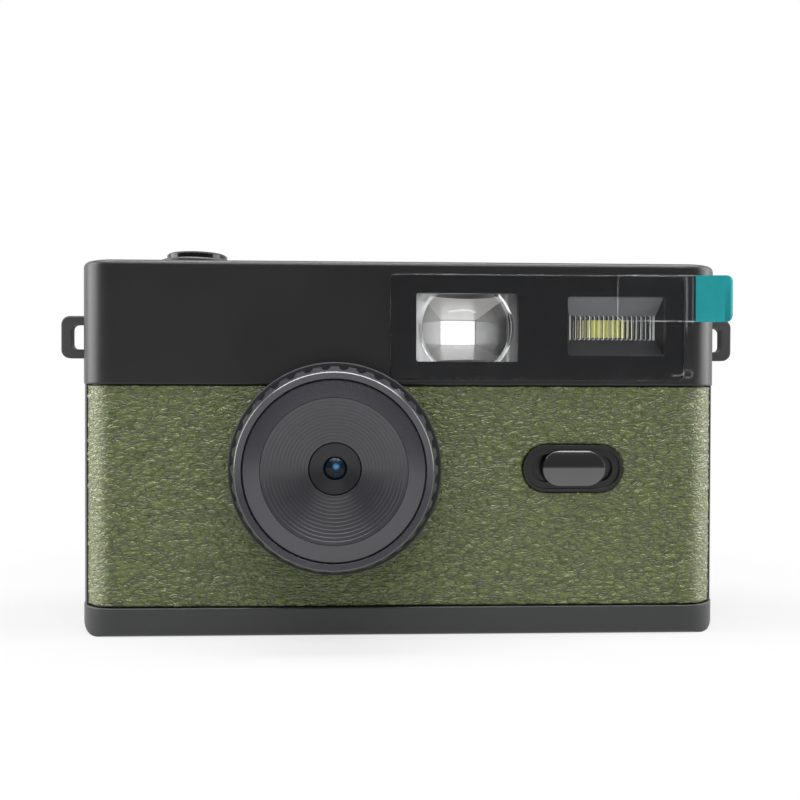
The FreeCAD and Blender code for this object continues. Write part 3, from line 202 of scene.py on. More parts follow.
def black_plastic(name, tone, shine, grain=1.0, edge=0.12, scratches=0.5, ior=1.5, coat=0.0):
    """Tone is the colour, shine the roughness, and edge the radius of the rubbed edges in millimetres."""
    material, start = new_finish(name)
    spot = place(start)
    fine = cloud(spot, 1 / grain_size, 2.0, 0.6)
    broad = cloud(spot, 45.0, 3.0)
    line = cells(place(start, (1.0, 1.0, 0.06)), 900.0, "DISTANCE_TO_EDGE")
    drift = steps(cloud(spot, 160.0, 1.0), 0.56, 0.62)
    hairline = steps(line, 0.0, 0.012, 1.0, 0.0) * drift * scratches
    rounded = soft_edges(start, edge * mm)
    wear = worn_edges(start, rounded) * steps(cloud(spot, 700.0, 3.0), 0.35, 0.75, 0.25, 1.0)
    speck = steps(cells(spot, 520.0), 0.035, 0.055, 1.0, 0.0) * steps(cloud(spot, 90.0), 0.5, 0.7)
    dark = tuple(c * 0.82 for c in tone)
    pale = tuple(c * 1.9 + 0.012 for c in tone)
    colour = blend_colours(steps(fine * 0.5 + broad * 0.5, 0.35, 0.65), dark, tone)
    colour = blend_colours((wear * 0.55 + speck * 0.35 + hairline * 0.2).clamped(), colour, pale)
    rough = shine + (broad - 0.5) * 0.16 + (fine - 0.5) * 0.10 * grain + hairline * 0.15 + speck * 0.2
    relief = bumped(fine * grain - hairline * 0.6, 0.012 * mm, 0.55, rounded)
    shader = principled(start, {"Base Color": colour, "Roughness": rough.clamped(), "Normal": relief, "IOR": ior,
                                "Coat Weight": coat, "Coat Roughness": shine * 0.8})
    return finish_with(material, shader)


satin_black = black_plastic("moulded_satin_black", (0.013, 0.013, 0.0135), 0.33)
base_black = black_plastic("base_satin_black", (0.028, 0.029, 0.030), 0.36)
tray_black = black_plastic("tray_satin_black", (0.006, 0.0062, 0.0065), 0.26, grain=0.5)
lens_black = black_plastic("lens_satin_black", (0.042, 0.042, 0.051), 0.25, grain=0.30, edge=0.09, scratches=0.1,
                           ior=1.62, coat=0.3)
baffle_black = black_plastic("baffle_satin_black", (0.028, 0.028, 0.034), 0.32, grain=0.15, edge=0.13,
                             scratches=0.0, ior=1.65, coat=0.3)
drum_black = black_plastic("drum_satin_black", (0.022, 0.022, 0.024), 0.60, grain=0.6, edge=0.0, scratches=0.1,
                           ior=1.35)
lug_black = black_plastic("lug_satin_black", (0.046, 0.046, 0.046), 0.55, grain=0.6, edge=0.15, scratches=0.3)
barrel_black = black_plastic("barrel_satin_black", (0.014, 0.014, 0.016), 0.40, grain=0.3, edge=0.06,
                             scratches=0.0)
matt_black = black_plastic("inner_matt_black", (0.010, 0.010, 0.011), 0.62, grain=1.3, edge=0.06)
gloss_black = black_plastic("polished_black", (0.004, 0.004, 0.0045), 0.12, grain=0.06, edge=0.15, scratches=0.9)
piano_black = black_plastic("piano_black", (0.007, 0.007, 0.008), 0.14, grain=0.10, edge=0.15, scratches=0.6,
                            ior=1.85, coat=1.0)
print("eleven black plastics")

# %% [markdown]
# ## Funnel and tunnel
#
# The flash sits in a funnel and the finder has a tunnel. The roof of each is painted pale, as painted light from
# the table, while the floor and sides keep a darker tone, and the right wall is darker still, as painted shade.
# So one finish changes with the way that a wall faces. Little light reaches the roof of the tunnel in a render,
# so it also has a faint painted glow.

# %% Funnel and tunnel with painted light on the roof and painted shade on the right wall
def along_axis(where, axis):
    """One coordinate of a place, or one part of a direction."""
    return where.node("ShaderNodeSeparateXYZ", {}, {"Vector": where}, axis)


def plastic_with_painted_roof_light(name, wall_tone, painted_roof_light_tone, shine, ior=1.5, coat=0.0, glow=0.0):
    material, start = new_finish(name)
    facing = start.node("ShaderNodeNewGeometry", {}, {}, "Normal")
    fine = cloud(place(start), 5000.0, 2.0)
    # Painted light: walls that face down, the roof, take the pale roof tone. Painted shade: the right wall,
    # which faces left, drops to a tenth of the wall tone.
    roof = steps(along_axis(facing, "Z"), -0.40, -0.20, 1.0, 0.0)
    right_wall = steps(along_axis(facing, "X"), -0.40, -0.20, 1.0, 0.0)
    colour = blend_colours(right_wall, wall_tone, tuple(c * 0.1 for c in wall_tone))
    colour = blend_colours(roof, colour, painted_roof_light_tone)
    # The roof's painted glow, in the roof tone, for light that a render doesn't bring there.
    painted_roof_glow = blend_colours(roof, (0.0, 0.0, 0.0), painted_roof_light_tone)
    shader = principled(start, {"Base Color": colour, "Roughness": shine + fine * 0.1, "IOR": ior,
                                "Coat Weight": coat, "Coat Roughness": shine * 0.8,
                                "Emission Color": painted_roof_glow, "Emission Strength": glow,
                                "Normal": bumped(fine, 0.01 * mm, 0.4, soft_edges(start, 0.08 * mm))})
    return finish_with(material, shader)


funnel_painted_light = plastic_with_painted_roof_light("flash_funnel", (0.010, 0.010, 0.011), (0.36, 0.36, 0.37), 0.50)
tunnel_painted_light = plastic_with_painted_roof_light("finder_tunnel", (0.165, 0.162, 0.158), (0.58, 0.56, 0.55), 0.24,
                                 ior=1.85, coat=1.0, glow=0.45)
print("funnel and tunnel finishes")

# %% [markdown]
# ## Clear plastic
#
# The window plate is clear acrylic, the finder has a moulded lens, and the flash has a ribbed one. Real
# refraction shows their curves, but a path tracer can't aim lamp light through it, so the pieces behind
# would go black. The usual way round is to let shadow rays pass straight through with a Transparent shader.
#
# Parts of these lenses catch light inside the plastic, and that light is painted in: a pale matt shader laid
# over the clear one, with a weak painted glow for the light that would come through from behind.

# %% One shader over another
def mix_shaders(share, first, second):
    return first.node("ShaderNodeMixShader", {}, {0: share, 1: first, 2: second})


def ray_kind(start, kind):
    """1 for one kind of ray, such as those that the camera sends, and 0 for all others."""
    return start.node("ShaderNodeLightPath", {}, {}, kind)


def pale_painted_light_layer(start, clear, share, glow=0.0):
    """Lays a pale matt layer of painted light over clear plastic where share says; its glow is painted too, for
    light that comes from behind.
    """
    pale = principled(start, {"Base Color": (0.88, 0.88, 0.89, 1.0), "Roughness": 0.6,
                              "Emission Color": (1.0, 1.0, 1.0, 1.0), "Emission Strength": glow})
    return mix_shaders(share, clear, pale)


def lit_through(start, glass, tint):
    """Lets rays from lamps pass straight through glass, only tinted by it."""
    through = start.node("ShaderNodeBsdfTransparent", {}, {"Color": (*tint, 1.0)})
    return mix_shaders(ray_kind(start, "Is Shadow Ray"), glass, through)


# %% [markdown]
# Even new plastic isn't quite clean. Handling leaves soft smears and a few specks of dust, which both vary
# the roughness, and the mould leaves a very shallow ripple.

# %% Clear plastic
painted_light_glow = 0.42


def clear_plastic(name, tint, roughness, smudge=0.05, ior=1.49, painted_light_pattern=None, glow=0.0):
    material, start = new_finish(name)
    spot = place(start)
    smear = steps(cloud(place(start, (1.0, 1.0, 0.45)), 130.0, 4.0), 0.45, 0.75)
    rough = roughness + smear * smudge
    dust = steps(cells(spot, 480.0), 0.030, 0.045, 1.0, 0.0) * steps(cloud(spot, 70.0), 0.5, 0.65)
    ripple = bumped(cloud(spot, 220.0, 1.0) + dust * 0.3, 0.002 * mm, 0.3)
    # The emission is a painted glow, for light from behind, and stays off unless glow is given.
    glass = principled(start, {"Base Color": (*tint, 1.0), "Roughness": (rough + dust * 0.3).clamped(),
                               "IOR": ior, "Transmission Weight": 1.0, "Normal": ripple,
                               "Emission Color": (1.0, 1.0, 0.97, 1.0), "Emission Strength": glow})
    shader = lit_through(start, glass, tint)
    if painted_light_pattern is not None:
        shader = pale_painted_light_layer(start, shader, painted_light_pattern(start, spot), painted_light_glow)
    return finish_with(material, shader)


# %% [markdown]
# The finder's lens is a round dish in a rectangular plate, and painted light covers what lies outside the dish:
# pale at its left, in faint streaks at its right, with a painted highlight just inside its rim. The flash lens
# has upright ribs, and a painted highlight line runs down the valley between each two. Both patterns are worked
# out from the place on the piece, so they follow the solids.

# %% Where the painted light lies
finder_low, finder_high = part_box("viewfinder_lens")
finder_centre = (finder_low + finder_high) / 2
finder_radius = 7.95 * mm
ribs_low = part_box("flash_lens")[0]
rib_pitch = 0.85 * mm


def finder_painted_light(start, spot):
    """Painted light round the moulded lens: pale at its left, streaked at its right, and a painted highlight
    along its rim.
    """
    across = along_axis(spot, "X") - finder_centre.x
    rise = along_axis(spot, "Z") - finder_centre.z
    radius = start.maths("SQRT", across * across + rise * rise)
    outside = steps(radius, finder_radius, finder_radius + 0.06 * mm)
    # Painted highlight: a bright line just inside the rim of the dish.
    line = steps(radius, finder_radius - 0.10 * mm, finder_radius - 0.04 * mm) * (1.0 - outside)
    # Painted light outside the dish: pale facets at the left and faint streaks at the right.
    left = steps(across, -1.0 * mm, 1.0 * mm, 1.0, 0.0)
    streaks = steps(cloud(place(start, (1.0, 1.0, 0.04)), 1400.0, 2.0), 0.52, 0.70) * 0.16 + 0.02
    facets = steps(cloud(place(start, (1.0, 1.0, 0.5)), 420.0, 1.0), 0.42, 0.5, 0.32, 0.76)
    return (outside * (left * facets * 0.45 + (1.0 - left) * streaks) + line * 0.35).clamped()


def rib_painted_highlights(start, spot):
    """A painted highlight line down the valley between two ribs of the flash lens, stronger on some than on
    others.
    """
    phase = start.maths("FRACT", (along_axis(spot, "X") - ribs_low.x) * (1.0 / rib_pitch))
    centred = start.maths("ABSOLUTE", phase - 0.5)
    uneven = steps(cloud(place(start, (1.0, 0.0, 0.0)), 900.0, 1.0), 0.35, 0.65, 0.45, 1.0)
    return (steps(centred, 0.38, 0.46) * uneven).clamped()


window_clear = clear_plastic("window_clear_acrylic", (0.99, 0.99, 0.99), 0.02, ior=1.32)
finder_clear = clear_plastic("finder_clear_plastic", (0.99, 0.99, 0.99), 0.01, 0.03, painted_light_pattern=finder_painted_light)
# The eyepiece has a faint painted glow, for light that comes in through it from behind.
eyepiece_clear = clear_plastic("eyepiece_clear_plastic", (0.99, 0.99, 0.99), 0.01, 0.03, glow=0.16)
flash_clear = clear_plastic("flash_clear_plastic", (0.96, 0.97, 0.97), 0.04, 0.04, painted_light_pattern=rib_painted_highlights)
light_pipe = clear_plastic("light_pipe_plastic", (0.93, 0.95, 0.95), 0.10, 0.04)
print("five clear plastics")

# %% [markdown]
# ## Coated glass
#
# A camera lens looks black with a small coloured glint. The glint is the coating of the inner faces, seen as
# a ghost deep in the glass. A stack of real faces would need many bounces, so the ghost is a painted
# reflection: a soft round spot of faint blue light, slightly above and right of the middle.

# %% Lens glass
glass_low, glass_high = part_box("front_glass")
ghost = (glass_low + glass_high) / 2 + Vector((0.15 * mm, 0.0, 0.35 * mm))


def coated_glass(name, tint, painted_glint_colour):
    """Lens glass, dark with depth, with a painted reflection for the coloured ghost that its coated inner faces
    throw back.
    """
    material, start = new_finish(name)
    spot = place(start)
    smear = steps(cloud(spot, 500.0, 3.0), 0.45, 0.8, 0.0, 0.06)
    across = along_axis(spot, "X") - ghost.x
    rise = along_axis(spot, "Z") - ghost.z
    radius = start.maths("SQRT", across * across + rise * rise)
    # Painted reflection: a soft spot of emission round the ghost's place, broken up by noise.
    painted_glint = steps(radius, 0.20 * mm, 0.72 * mm, 1.0, 0.0) * steps(cloud(spot, 1500.0, 1.0), 0.35, 0.6, 0.3, 1.0)
    inner = blend_colours(painted_glint, (0.0, 0.002, 0.005), painted_glint_colour)
    glass = principled(start, {"Base Color": (*tint, 1.0), "Roughness": smear + 0.26, "IOR": 1.36,
                               "Transmission Weight": 1.0, "Emission Color": inner, "Emission Strength": 1.0})
    return finish_with(material, lit_through(start, glass, tint))


lens_glass = coated_glass("coated_lens_glass", (0.10, 0.15, 0.20), (0.06, 0.17, 0.30))
print("lens glass, ghost at mm:", [round(value / mm, 2) for value in ghost])

# %% [markdown]
# ## Leather covering
#
# The front is wrapped in olive leatherette, embossed with a pebble grain whose cells are wider than they
# are tall. The embossing is real relief, so it is modelled in the sheet itself further down. Here the same
# cells also carry painted light and shade: valleys hold a darker olive as painted shade, crests are smoother
# and take a paler painted highlight, and a finer crackle runs on top. Where the sheet is pulled round a corner
# it is stretched smooth and shinier, and a painted sheen makes it paler there.

# %% Olive leatherette
corner_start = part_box("leather_covering")[1].x - 5.0 * mm
corner_width = 2.6 * mm


def leather_finish():
    material, start = new_finish("olive_pebbled_leatherette")
    relief = start.node("ShaderNodeAttribute", {"attribute_name": "pebble"}, {}, "Fac")
    spot = place(start)
    wander = cloud(spot, 500.0, 2.0, 0.6)
    sideways = start.maths("ABSOLUTE", along_axis(spot, "X"))
    # Round the corners the sheet is shinier, and the same share lays a painted sheen on it below.
    corner = steps(sideways, corner_start, corner_start + corner_width)
    flat = place(start, (0.40, 0.8, 1.0))
    creases = cells(flat, 1900.0, "DISTANCE_TO_EDGE")
    wrinkle = cloud(flat, 1300.0, 1.5, 0.5)
    crackle = steps(creases, 0.0, 0.22) * 0.5 + wrinkle * 0.9
    pores = steps(cells(spot, 4200.0), 0.10, 0.25)
    broad = cloud(spot, 38.0, 3.0)
    olive = blend_colours(steps(broad, 0.3, 0.7), (0.094, 0.120, 0.018), (0.118, 0.143, 0.030))
    # Painted shade: the valleys of the grain and of the crackle darken to a deep olive.
    colour = blend_colours(steps(relief * 0.6 + crackle * 0.4, 0.15, 0.75), (0.030, 0.039, 0.008), olive)
    # Painted highlight on the crests and painted sheen at the corners, both towards a pale olive.
    crest_painted_highlight = steps(relief, 0.62, 0.95) * steps(wrinkle, 0.42, 0.65)
    colour = blend_colours(crest_painted_highlight * (0.40 + corner * 0.45) + corner * 0.48, colour, (0.330, 0.352, 0.195))
    rough = 0.24 - corner * 0.06 - crest_painted_highlight * 0.06 + (1.0 - relief) * 0.10
    rough = rough + (broad - 0.5) * 0.10 + (wander - 0.5) * 0.1
    fine = bumped(crackle * 0.9 + pores * 0.1, 0.22 * mm, 1.0)
    shader = principled(start, {"Base Color": colour, "Roughness": rough, "Normal": fine, "IOR": 1.68})
    return finish_with(material, shader)


leather = leather_finish()
print("leather finish")

# %% [markdown]
# ## Film, tape and tab
#
# The shipping film is a thin clear sheet with a few creases, held by a strip of clear tape that ends in a
# teal tab to pull. Film this thin doesn't bend light, so it is mostly Transparent, with a little gloss. Its
# share follows the view by Schlick's rule, which gives both faces of the sheet the same share. A Fresnel
# node would make the far face a full mirror at shallow angles. A faint pale layer along the creases is a
# painted highlight, for the light lines that they catch.

# %% Thin clear film
def thin_film(start, haze, rough, normal):
    """Clear sheet: see-through, with a reflection that grows at shallow angles."""
    facing = start.node("ShaderNodeLayerWeight", {}, {"Blend": 0.5}, "Facing")
    gleam = facing ** 5.0 * 0.975 + 0.025
    through = start.node("ShaderNodeBsdfTransparent", {}, {"Color": (0.985, 0.99, 0.99, 1.0)})
    shine = principled(start, {"Base Color": (0.9, 0.9, 0.92, 1.0), "Roughness": rough, "Metallic": 1.0,
                               "Normal": normal})
    return mix_shaders((gleam + haze).clamped(), through, shine)


def film_finish():
    material, start = new_finish("thin_clear_film")
    spot = place(start)
    ripple = bumped(cloud(spot, 90.0, 2.0), 0.02 * mm, 0.4)
    smear = steps(cloud(place(start, (1.0, 1.0, 0.3)), 120.0, 4.0), 0.5, 0.8)
    shader = thin_film(start, smear * 0.012 + 0.002, smear * 0.12 + 0.05, ripple)
    # Painted highlight: a pale layer along the creases, for the light lines that they catch.
    crease = start.node("ShaderNodeAttribute", {"attribute_name": "crease"}, {}, "Fac")
    return finish_with(material, pale_painted_light_layer(start, shader, (crease * 0.16).clamped()))


film_clear = film_finish()
print("film finish")

# %% [markdown]
# The tape is the same clear sheet with a teal end. A thin pale line is painted round the clear part, a
# painted highlight along its cut edge. To find the edge, the shader works out how far in from a round-cornered
# outline each place lies.

# %% Tape that turns teal
tab_start = 51.2 * mm
tape_corner = 1.1 * mm
tape_low, tape_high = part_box("pull_tab")


def inside_outline(start, spot, low, high, corner):
    """Distance in from the outline of an upright round-cornered sheet, below 0 outside it."""
    middle = (low + high) / 2
    half = (high - low) / 2
    across = along_axis(spot, "X") - middle.x
    rise = along_axis(spot, "Z") - middle.z
    beyond_x = start.maths("ABSOLUTE", across) - (half.x - corner)
    beyond_z = start.maths("ABSOLUTE", rise) - (half.z - corner)
    out_x = start.maths("MAXIMUM", beyond_x, 0.0)
    out_z = start.maths("MAXIMUM", beyond_z, 0.0)
    round_part = start.maths("SQRT", out_x * out_x + out_z * out_z)
    straight_part = start.maths("MAXIMUM", beyond_x, beyond_z)
    return corner - round_part - start.maths("MINIMUM", straight_part, 0.0)


def tape_finish():
    material, start = new_finish("clear_tape_with_teal_tab")
    spot = place(start)
    ripple = bumped(cloud(spot, 140.0, 3.0), 0.02 * mm, 0.4)
    smear = steps(cloud(place(start, (1.0, 1.0, 0.3)), 150.0, 4.0), 0.45, 0.8)
    clear = thin_film(start, smear * 0.01 + 0.002, smear * 0.12 + 0.06, ripple)
    inward = inside_outline(start, spot, tape_low, tape_high, tape_corner)
    # Painted highlight: a pale line just inside the tape's outline, broken up by noise.
    rim = steps(inward, 0.06 * mm, 0.20 * mm, 1.0, 0.0)
    broken = steps(cloud(spot, 330.0, 2.0), 0.40, 0.60, 0.25, 1.0)
    clear = pale_painted_light_layer(start, clear, (rim * broken * 0.45).clamped())
    blotch = steps(cloud(spot, 260.0, 4.0), 0.3, 0.7)
    ink = blend_colours(blotch, (0.026, 0.440, 0.470), (0.036, 0.490, 0.520))
    teal = principled(start, {"Base Color": ink, "Roughness": smear * 0.1 + 0.33, "Normal": ripple})
    edge = steps(along_axis(spot, "X"), tab_start - 0.03 * mm, tab_start + 0.03 * mm)
    return finish_with(material, mix_shaders(edge, clear, teal))


tape_teal = tape_finish()
print("tape finish")

# %% [markdown]
# ## Metal, board and foil inside the case
#
# Nothing of the electronics shows from outside, but anyone who opens the model should find each part in its
# own finish: plated steel sockets and screws, a green board with its copper runs, matt chips, a foil
# battery, and an amber cable.

# %% Finishes of the hidden parts
def metal(name, tone, roughness, brush=(1.0, 1.0, 0.05)):
    material, start = new_finish(name)
    streaks = cloud(place(start, brush), 3000.0, 3.0)
    tarnish = cloud(place(start), 300.0, 4.0)
    rounded = soft_edges(start, 0.05 * mm)
    colour = blend_colours(steps(tarnish, 0.3, 0.7), tone, tuple(c * 0.8 for c in tone))
    rough = (roughness + (streaks - 0.5) * 0.2 + (tarnish - 0.5) * 0.15).clamped()
    shader = principled(start, {"Base Color": colour, "Metallic": 1.0, "Roughness": rough,
                                "Normal": bumped(streaks, 0.003 * mm, 0.5, rounded)})
    return finish_with(material, shader)


def circuit_finish():
    material, start = new_finish("green_circuit_board")
    spot = place(start)
    runs = start.node("ShaderNodeTexBrick", {}, {"Vector": place(start, (1.0, 1.0, 2.0)), "Scale": 500.0,
                                                 "Mortar Size": 0.06, "Mortar Smooth": 0.1}, "Fac")
    pads = steps(cells(spot, 420.0, randomness=0.3), 0.18, 0.22, 1.0, 0.0)
    mask = blend_colours(runs, (0.012, 0.105, 0.045), (0.030, 0.210, 0.085))
    colour = blend_colours(pads, mask, (0.60, 0.56, 0.42))
    weave = cloud(spot, 4000.0, 1.0)
    shader = principled(start, {"Base Color": colour, "Metallic": pads * 0.8, "Roughness": 0.35 + weave * 0.15,
                                "Normal": bumped(runs + pads + weave * 0.2, 0.02 * mm, 0.6)})
    return finish_with(material, shader)


def plain_plastic(name, tone, other, roughness, scale=1500.0, glow=0.0):
    material, start = new_finish(name)
    spot = place(start)
    grain = cloud(spot, scale, 4.0)
    colour = blend_colours(steps(grain, 0.3, 0.7), tone, other)
    rough = (roughness + (cloud(spot, 200.0) - 0.5) * 0.2).clamped()
    sockets = {"Base Color": colour, "Roughness": rough, "Normal": bumped(grain, 0.02 * mm, 0.4)}
    # A painted glow in the piece's own colour, only where glow is given.
    if glow:
        sockets["Emission Color"] = colour
        sockets["Emission Strength"] = glow
    return finish_with(material, principled(start, sockets))


plated_steel = metal("plated_steel", (0.62, 0.62, 0.63), 0.32)
battery_foil = metal("battery_foil", (0.70, 0.71, 0.73), 0.42, (1.0, 0.3, 1.0))
circuit_green = circuit_finish()
chip_black = plain_plastic("chip_epoxy", (0.022, 0.022, 0.024), (0.034, 0.034, 0.036), 0.55, 3500.0)
white_nylon = plain_plastic("white_nylon", (0.70, 0.71, 0.70), (0.78, 0.79, 0.77), 0.45)
amber_cable = plain_plastic("amber_cable", (0.50, 0.24, 0.035), (0.60, 0.30, 0.05), 0.25, 900.0)
# The phosphor of the unlit flash LEDs has a painted glow.
yellow_phosphor_painted_glow = plain_plastic("yellow_phosphor_painted_glow", (0.66, 0.66, 0.060), (0.78, 0.77, 0.12), 0.7, 5000.0, 0.38)
print("seven finishes for the inside")

# %% [markdown]
# ## Which part gets which finish
#
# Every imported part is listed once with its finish. A part that is missing from the lists would keep the
# loader's plain colour, so the last lines check that none is.

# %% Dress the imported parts
dress = {
    satin_black: ["front_shell", "rear_shell", "top_cover", "eyepiece_bezel", "power_button"],
    base_black: ["base_plate", "shutter_collar"],
    tray_black: ["switch_bezel"],
    lens_black: ["lens_ring", "lens_front"],
    baffle_black: ["stepped_baffle"],
    drum_black: ["lens_base"],
    lug_black: ["strap_lug_left", "strap_lug_right"],
    barrel_black: ["lens_barrel"],
    matt_black: ["lens_holder", "shutter_plunger", "power_plunger", "buzzer"],
    gloss_black: ["window_mask", "shutter_button"],
    piano_black: ["flash_switch_knob"],
    funnel_painted_light: ["flash_hood"],
    tunnel_painted_light: ["viewfinder_tunnel"],
    window_clear: ["window_cover"],
    finder_clear: ["viewfinder_lens"],
    eyepiece_clear: ["eyepiece_lens"],
    flash_clear: ["flash_lens"],
    light_pipe: ["status_light"],
    lens_glass: ["front_glass", "rear_glass", "infrared_filter"],
    leather: ["leather_covering"],
    film_clear: ["protective_film"],
    tape_teal: ["pull_tab"],
    plated_steel: ["usb_socket", "card_socket", "shutter_spring", "slide_switch", "case_screws", "base_screws",
                   "board_screws", "lens_screws"],
    battery_foil: ["battery"],
    circuit_green: ["sensor_board", "main_board", "shutter_board", "control_board"],
    chip_black: ["flash_board", "image_sensor", "board_chips", "shutter_switch", "power_switch"],
    white_nylon: ["slide_lever", "status_led"],
    amber_cable: ["sensor_ribbon"],
    yellow_phosphor_painted_glow: ["flash_leds"],
}
for finish, names in dress.items():
    for name in names:
        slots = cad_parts[name].data.materials
        slots.clear()
        slots.append(finish)
dressed = {name for names in dress.values() for name in names}
print("not dressed:", sorted(set(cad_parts) - dressed))

# %% [markdown]
# ## Helpers for new pieces
#
# A new piece starts as a bmesh, is shaped in the camera's own frame so that its object can stay at the
# origin, and then rides on a body of the model and stands for the plain part that it replaces.

# %% From bmesh to a piece of the camera
def linked(name, data):
    """A new object in the scene, at the origin."""
    thing = bpy.data.objects.new(name, data)
    bpy.context.scene.collection.objects.link(thing)
    return thing


def make_piece(name, shape, finish, body="camera_body", stands_for=(), sharp=70.0):
    """Faces that meet at more than the sharp angle, in degrees, keep a hard edge."""
    mesh = bpy.data.meshes.new(name)
    shape.normal_update()
    shape.to_mesh(mesh)
    shape.free()
    mesh.materials.append(finish)
    for face in mesh.polygons:
        face.use_smooth = True
    mesh.set_sharp_from_angle(angle=math.radians(sharp))
    piece = linked(name, mesh)
    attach(piece, body)
    if stands_for:
        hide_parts(*stands_for)
    print(name, len(mesh.polygons), "faces")


# %% [markdown]
# ## Leather covering, with its grain
#
# Leatherette is embossed by rollers, so its pebbles stand up by about a quarter of a millimetre, and they
# catch the light one by one. A bump map could fake that, but seen from the side the surface would be flat.
# Here the sheet is a fine grid. It is embossed first, by pushing each point down where two cells meet, and
# then wrapped round the camera's front and corners like the real sheet.

# %% Where the leather lies
leather_low, leather_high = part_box("leather_covering")
lens_low, lens_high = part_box("lens_ring")
tray_low, tray_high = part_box("switch_bezel")
wrap_radius = 6.85 * mm
wrap_angle = math.acos(1.0 - (leather_high.y - leather_low.y) / wrap_radius)
front_half = leather_high.x - wrap_radius * math.sin(wrap_angle)
wrap_length = front_half + wrap_radius * wrap_angle
lens_centre = (lens_low + lens_high) / 2
tray_centre = (tray_low + tray_high) / 2
print("half length of the sheet, mm:", round(wrap_length / mm, 2))

# %% [markdown]
# The grain comes from Voronoi cells. A place is high where its nearest cell centre is much nearer than the
# next one. It is low where the two are equally near, which is the crease between two pebbles. Smaller cells
# break the pebbles up, and slow noise bends their rows. All of it depends on the place alone, so each run
# gives the same sheet.

# %% Height of the grain
pebble_wide = 2.05 * mm
pebble_tall = 0.92 * mm


def ease(value, low, high):
    """0 below the first limit, 1 above the second, and smooth between."""
    share = min(1.0, max(0.0, (value - low) / (high - low)))
    return share * share * (3.0 - 2.0 * share)


def pebble_height(along, up):
    """Height of the grain at a place on the flat sheet, from 0 in a crease to 1 on a pebble."""
    bend = noise.noise(Vector((along / (6.0 * mm), up / (4.0 * mm), 0.0)))
    spot = Vector((along / pebble_wide + 0.7 * bend, up / pebble_tall + 1.2 * bend, 0.3 * bend))
    near = noise.voronoi(spot)[0]
    small = noise.voronoi(spot * 1.9 + Vector((7.1, 3.3, 0.0)))[0]
    big_crease = ease(near[1] - near[0], 0.0, 0.55)
    small_crease = ease(small[1] - small[0], 0.0, 0.50)
    swell = 0.5 + 0.5 * noise.noise(Vector((along / (3.0 * mm), up / (1.2 * mm), 5.0)))
    return 0.55 * big_crease + 0.20 * small_crease + 0.25 * swell


print("grain along two pebbles:", [round(pebble_height(0.2 * pebble_wide * step, 0.0), 2) for step in range(11)])

# %% [markdown]
# The sheet has an opening for the lens and one for the tray of the flash switch. The edge of the first can
# stay ragged, because the lens drum covers it. The second shows, so the grid's points near it are pulled to
# its outline. Every edge rolls in a little, as it does on pressed leatherette, and a wall runs from it
# towards the shell behind.

# %% Cut, emboss and wrap the sheet
grid_across = 0.30 * mm
grid_upward = 0.205 * mm
lens_opening = 16.0 * mm
tray_gap = 0.1 * mm
pull_reach = 0.15 * mm
grain_depth = 0.26 * mm
edge_roll = 0.35 * mm
wall_depth = 0.62 * mm


def outside_tray(along, up):
    """Distance from a place on the sheet to the stadium opening of the flash switch, and the way out."""
    half_height = (tray_high.z - tray_low.z) / 2 + tray_gap
    half_straight = (tray_high.x - tray_low.x) / 2 + tray_gap - half_height
    core = min(half_straight, max(-half_straight, along - tray_centre.x))
    away = Vector((along - tray_centre.x - core, up - tray_centre.z))
    reach = max(away.length, 1e-9)
    return reach - half_height, away / reach


def wrapped(along, up, depth):
    """Carries a place on the flat sheet to the camera: straight across the front, then round a corner."""
    side = 1.0 if along > 0 else -1.0
    over = abs(along) - front_half
    if over <= 0:
        return Vector((along, leather_low.y + depth, up))
    angle = over / wrap_radius
    reach = wrap_radius - depth
    return Vector((side * (front_half + reach * math.sin(angle)),
                   leather_low.y + wrap_radius - reach * math.cos(angle), up))


def leather_sheet():
    shape = bmesh.new()
    tall = leather_high.z - leather_low.z
    centre_up = (leather_high.z + leather_low.z) / 2
    bmesh.ops.create_grid(shape, x_segments=round(2 * wrap_length / grid_across),
                          y_segments=round(tall / grid_upward), size=0.5)
    for point in shape.verts:
        point.co = Vector((point.co.x * 2 * wrap_length, centre_up + point.co.y * tall, 0.0))
    hidden = []
    for face in shape.faces:
        middle = face.calc_center_median()
        to_lens = Vector((middle.x - lens_centre.x, middle.y - lens_centre.z)).length
        if to_lens < lens_opening or outside_tray(middle.x, middle.y)[0] < 0:
            hidden.append(face)
    bmesh.ops.delete(shape, geom=hidden, context="FACES")
    for point in shape.verts:
        distance, away = outside_tray(point.co.x, point.co.y)
        if distance < pull_reach:
            point.co.x -= away.x * distance
            point.co.y -= away.y * distance
    rim = [edge for edge in shape.edges if edge.is_boundary]
    wall = bmesh.ops.extrude_edge_only(shape, edges=rim)["geom"]
    wall_points = {point for point in wall if isinstance(point, bmesh.types.BMVert)}
    pebble = shape.verts.layers.float.new("pebble")
    for point in shape.verts:
        along, up = point.co.x, point.co.y
        height = pebble_height(along, up)
        point[pebble] = height
        to_edge = min(wrap_length - abs(along), tall / 2 - abs(up - centre_up),
                      max(0.0, outside_tray(along, up)[0]))
        turned = max(0.0, edge_roll - to_edge)
        depth = (1.0 - height) * grain_depth + edge_roll - math.sqrt(edge_roll * edge_roll - turned * turned)
        if point in wall_points:
            depth = wall_depth
        point.co = wrapped(along, up, depth)
    return shape


make_piece("leather_wrap", leather_sheet(), leather, stands_for=["leather_covering"])

# %% [markdown]
# ## Protective film and pull tab
#
# The film still lies on the window. It isn't quite flat: two upright creases run down near its right end,
# and a small bubble with a thin tail is trapped in the corner. Each is a low ridge in a fine grid.

# %% Film with creases and a bubble
film_low, film_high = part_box("protective_film")
drum_low, drum_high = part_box("lens_base")
drum_centre = (drum_low + drum_high) / 2
drum_radius = (drum_high.x - drum_low.x) / 2
drum_gap = 0.15 * mm
film_grid = (320, 110)
film_lift = 0.03 * mm
crease_rise = 0.07 * mm
wave_rise = 0.015 * mm
film_thickness = 0.02 * mm
follows_corner = 0.7


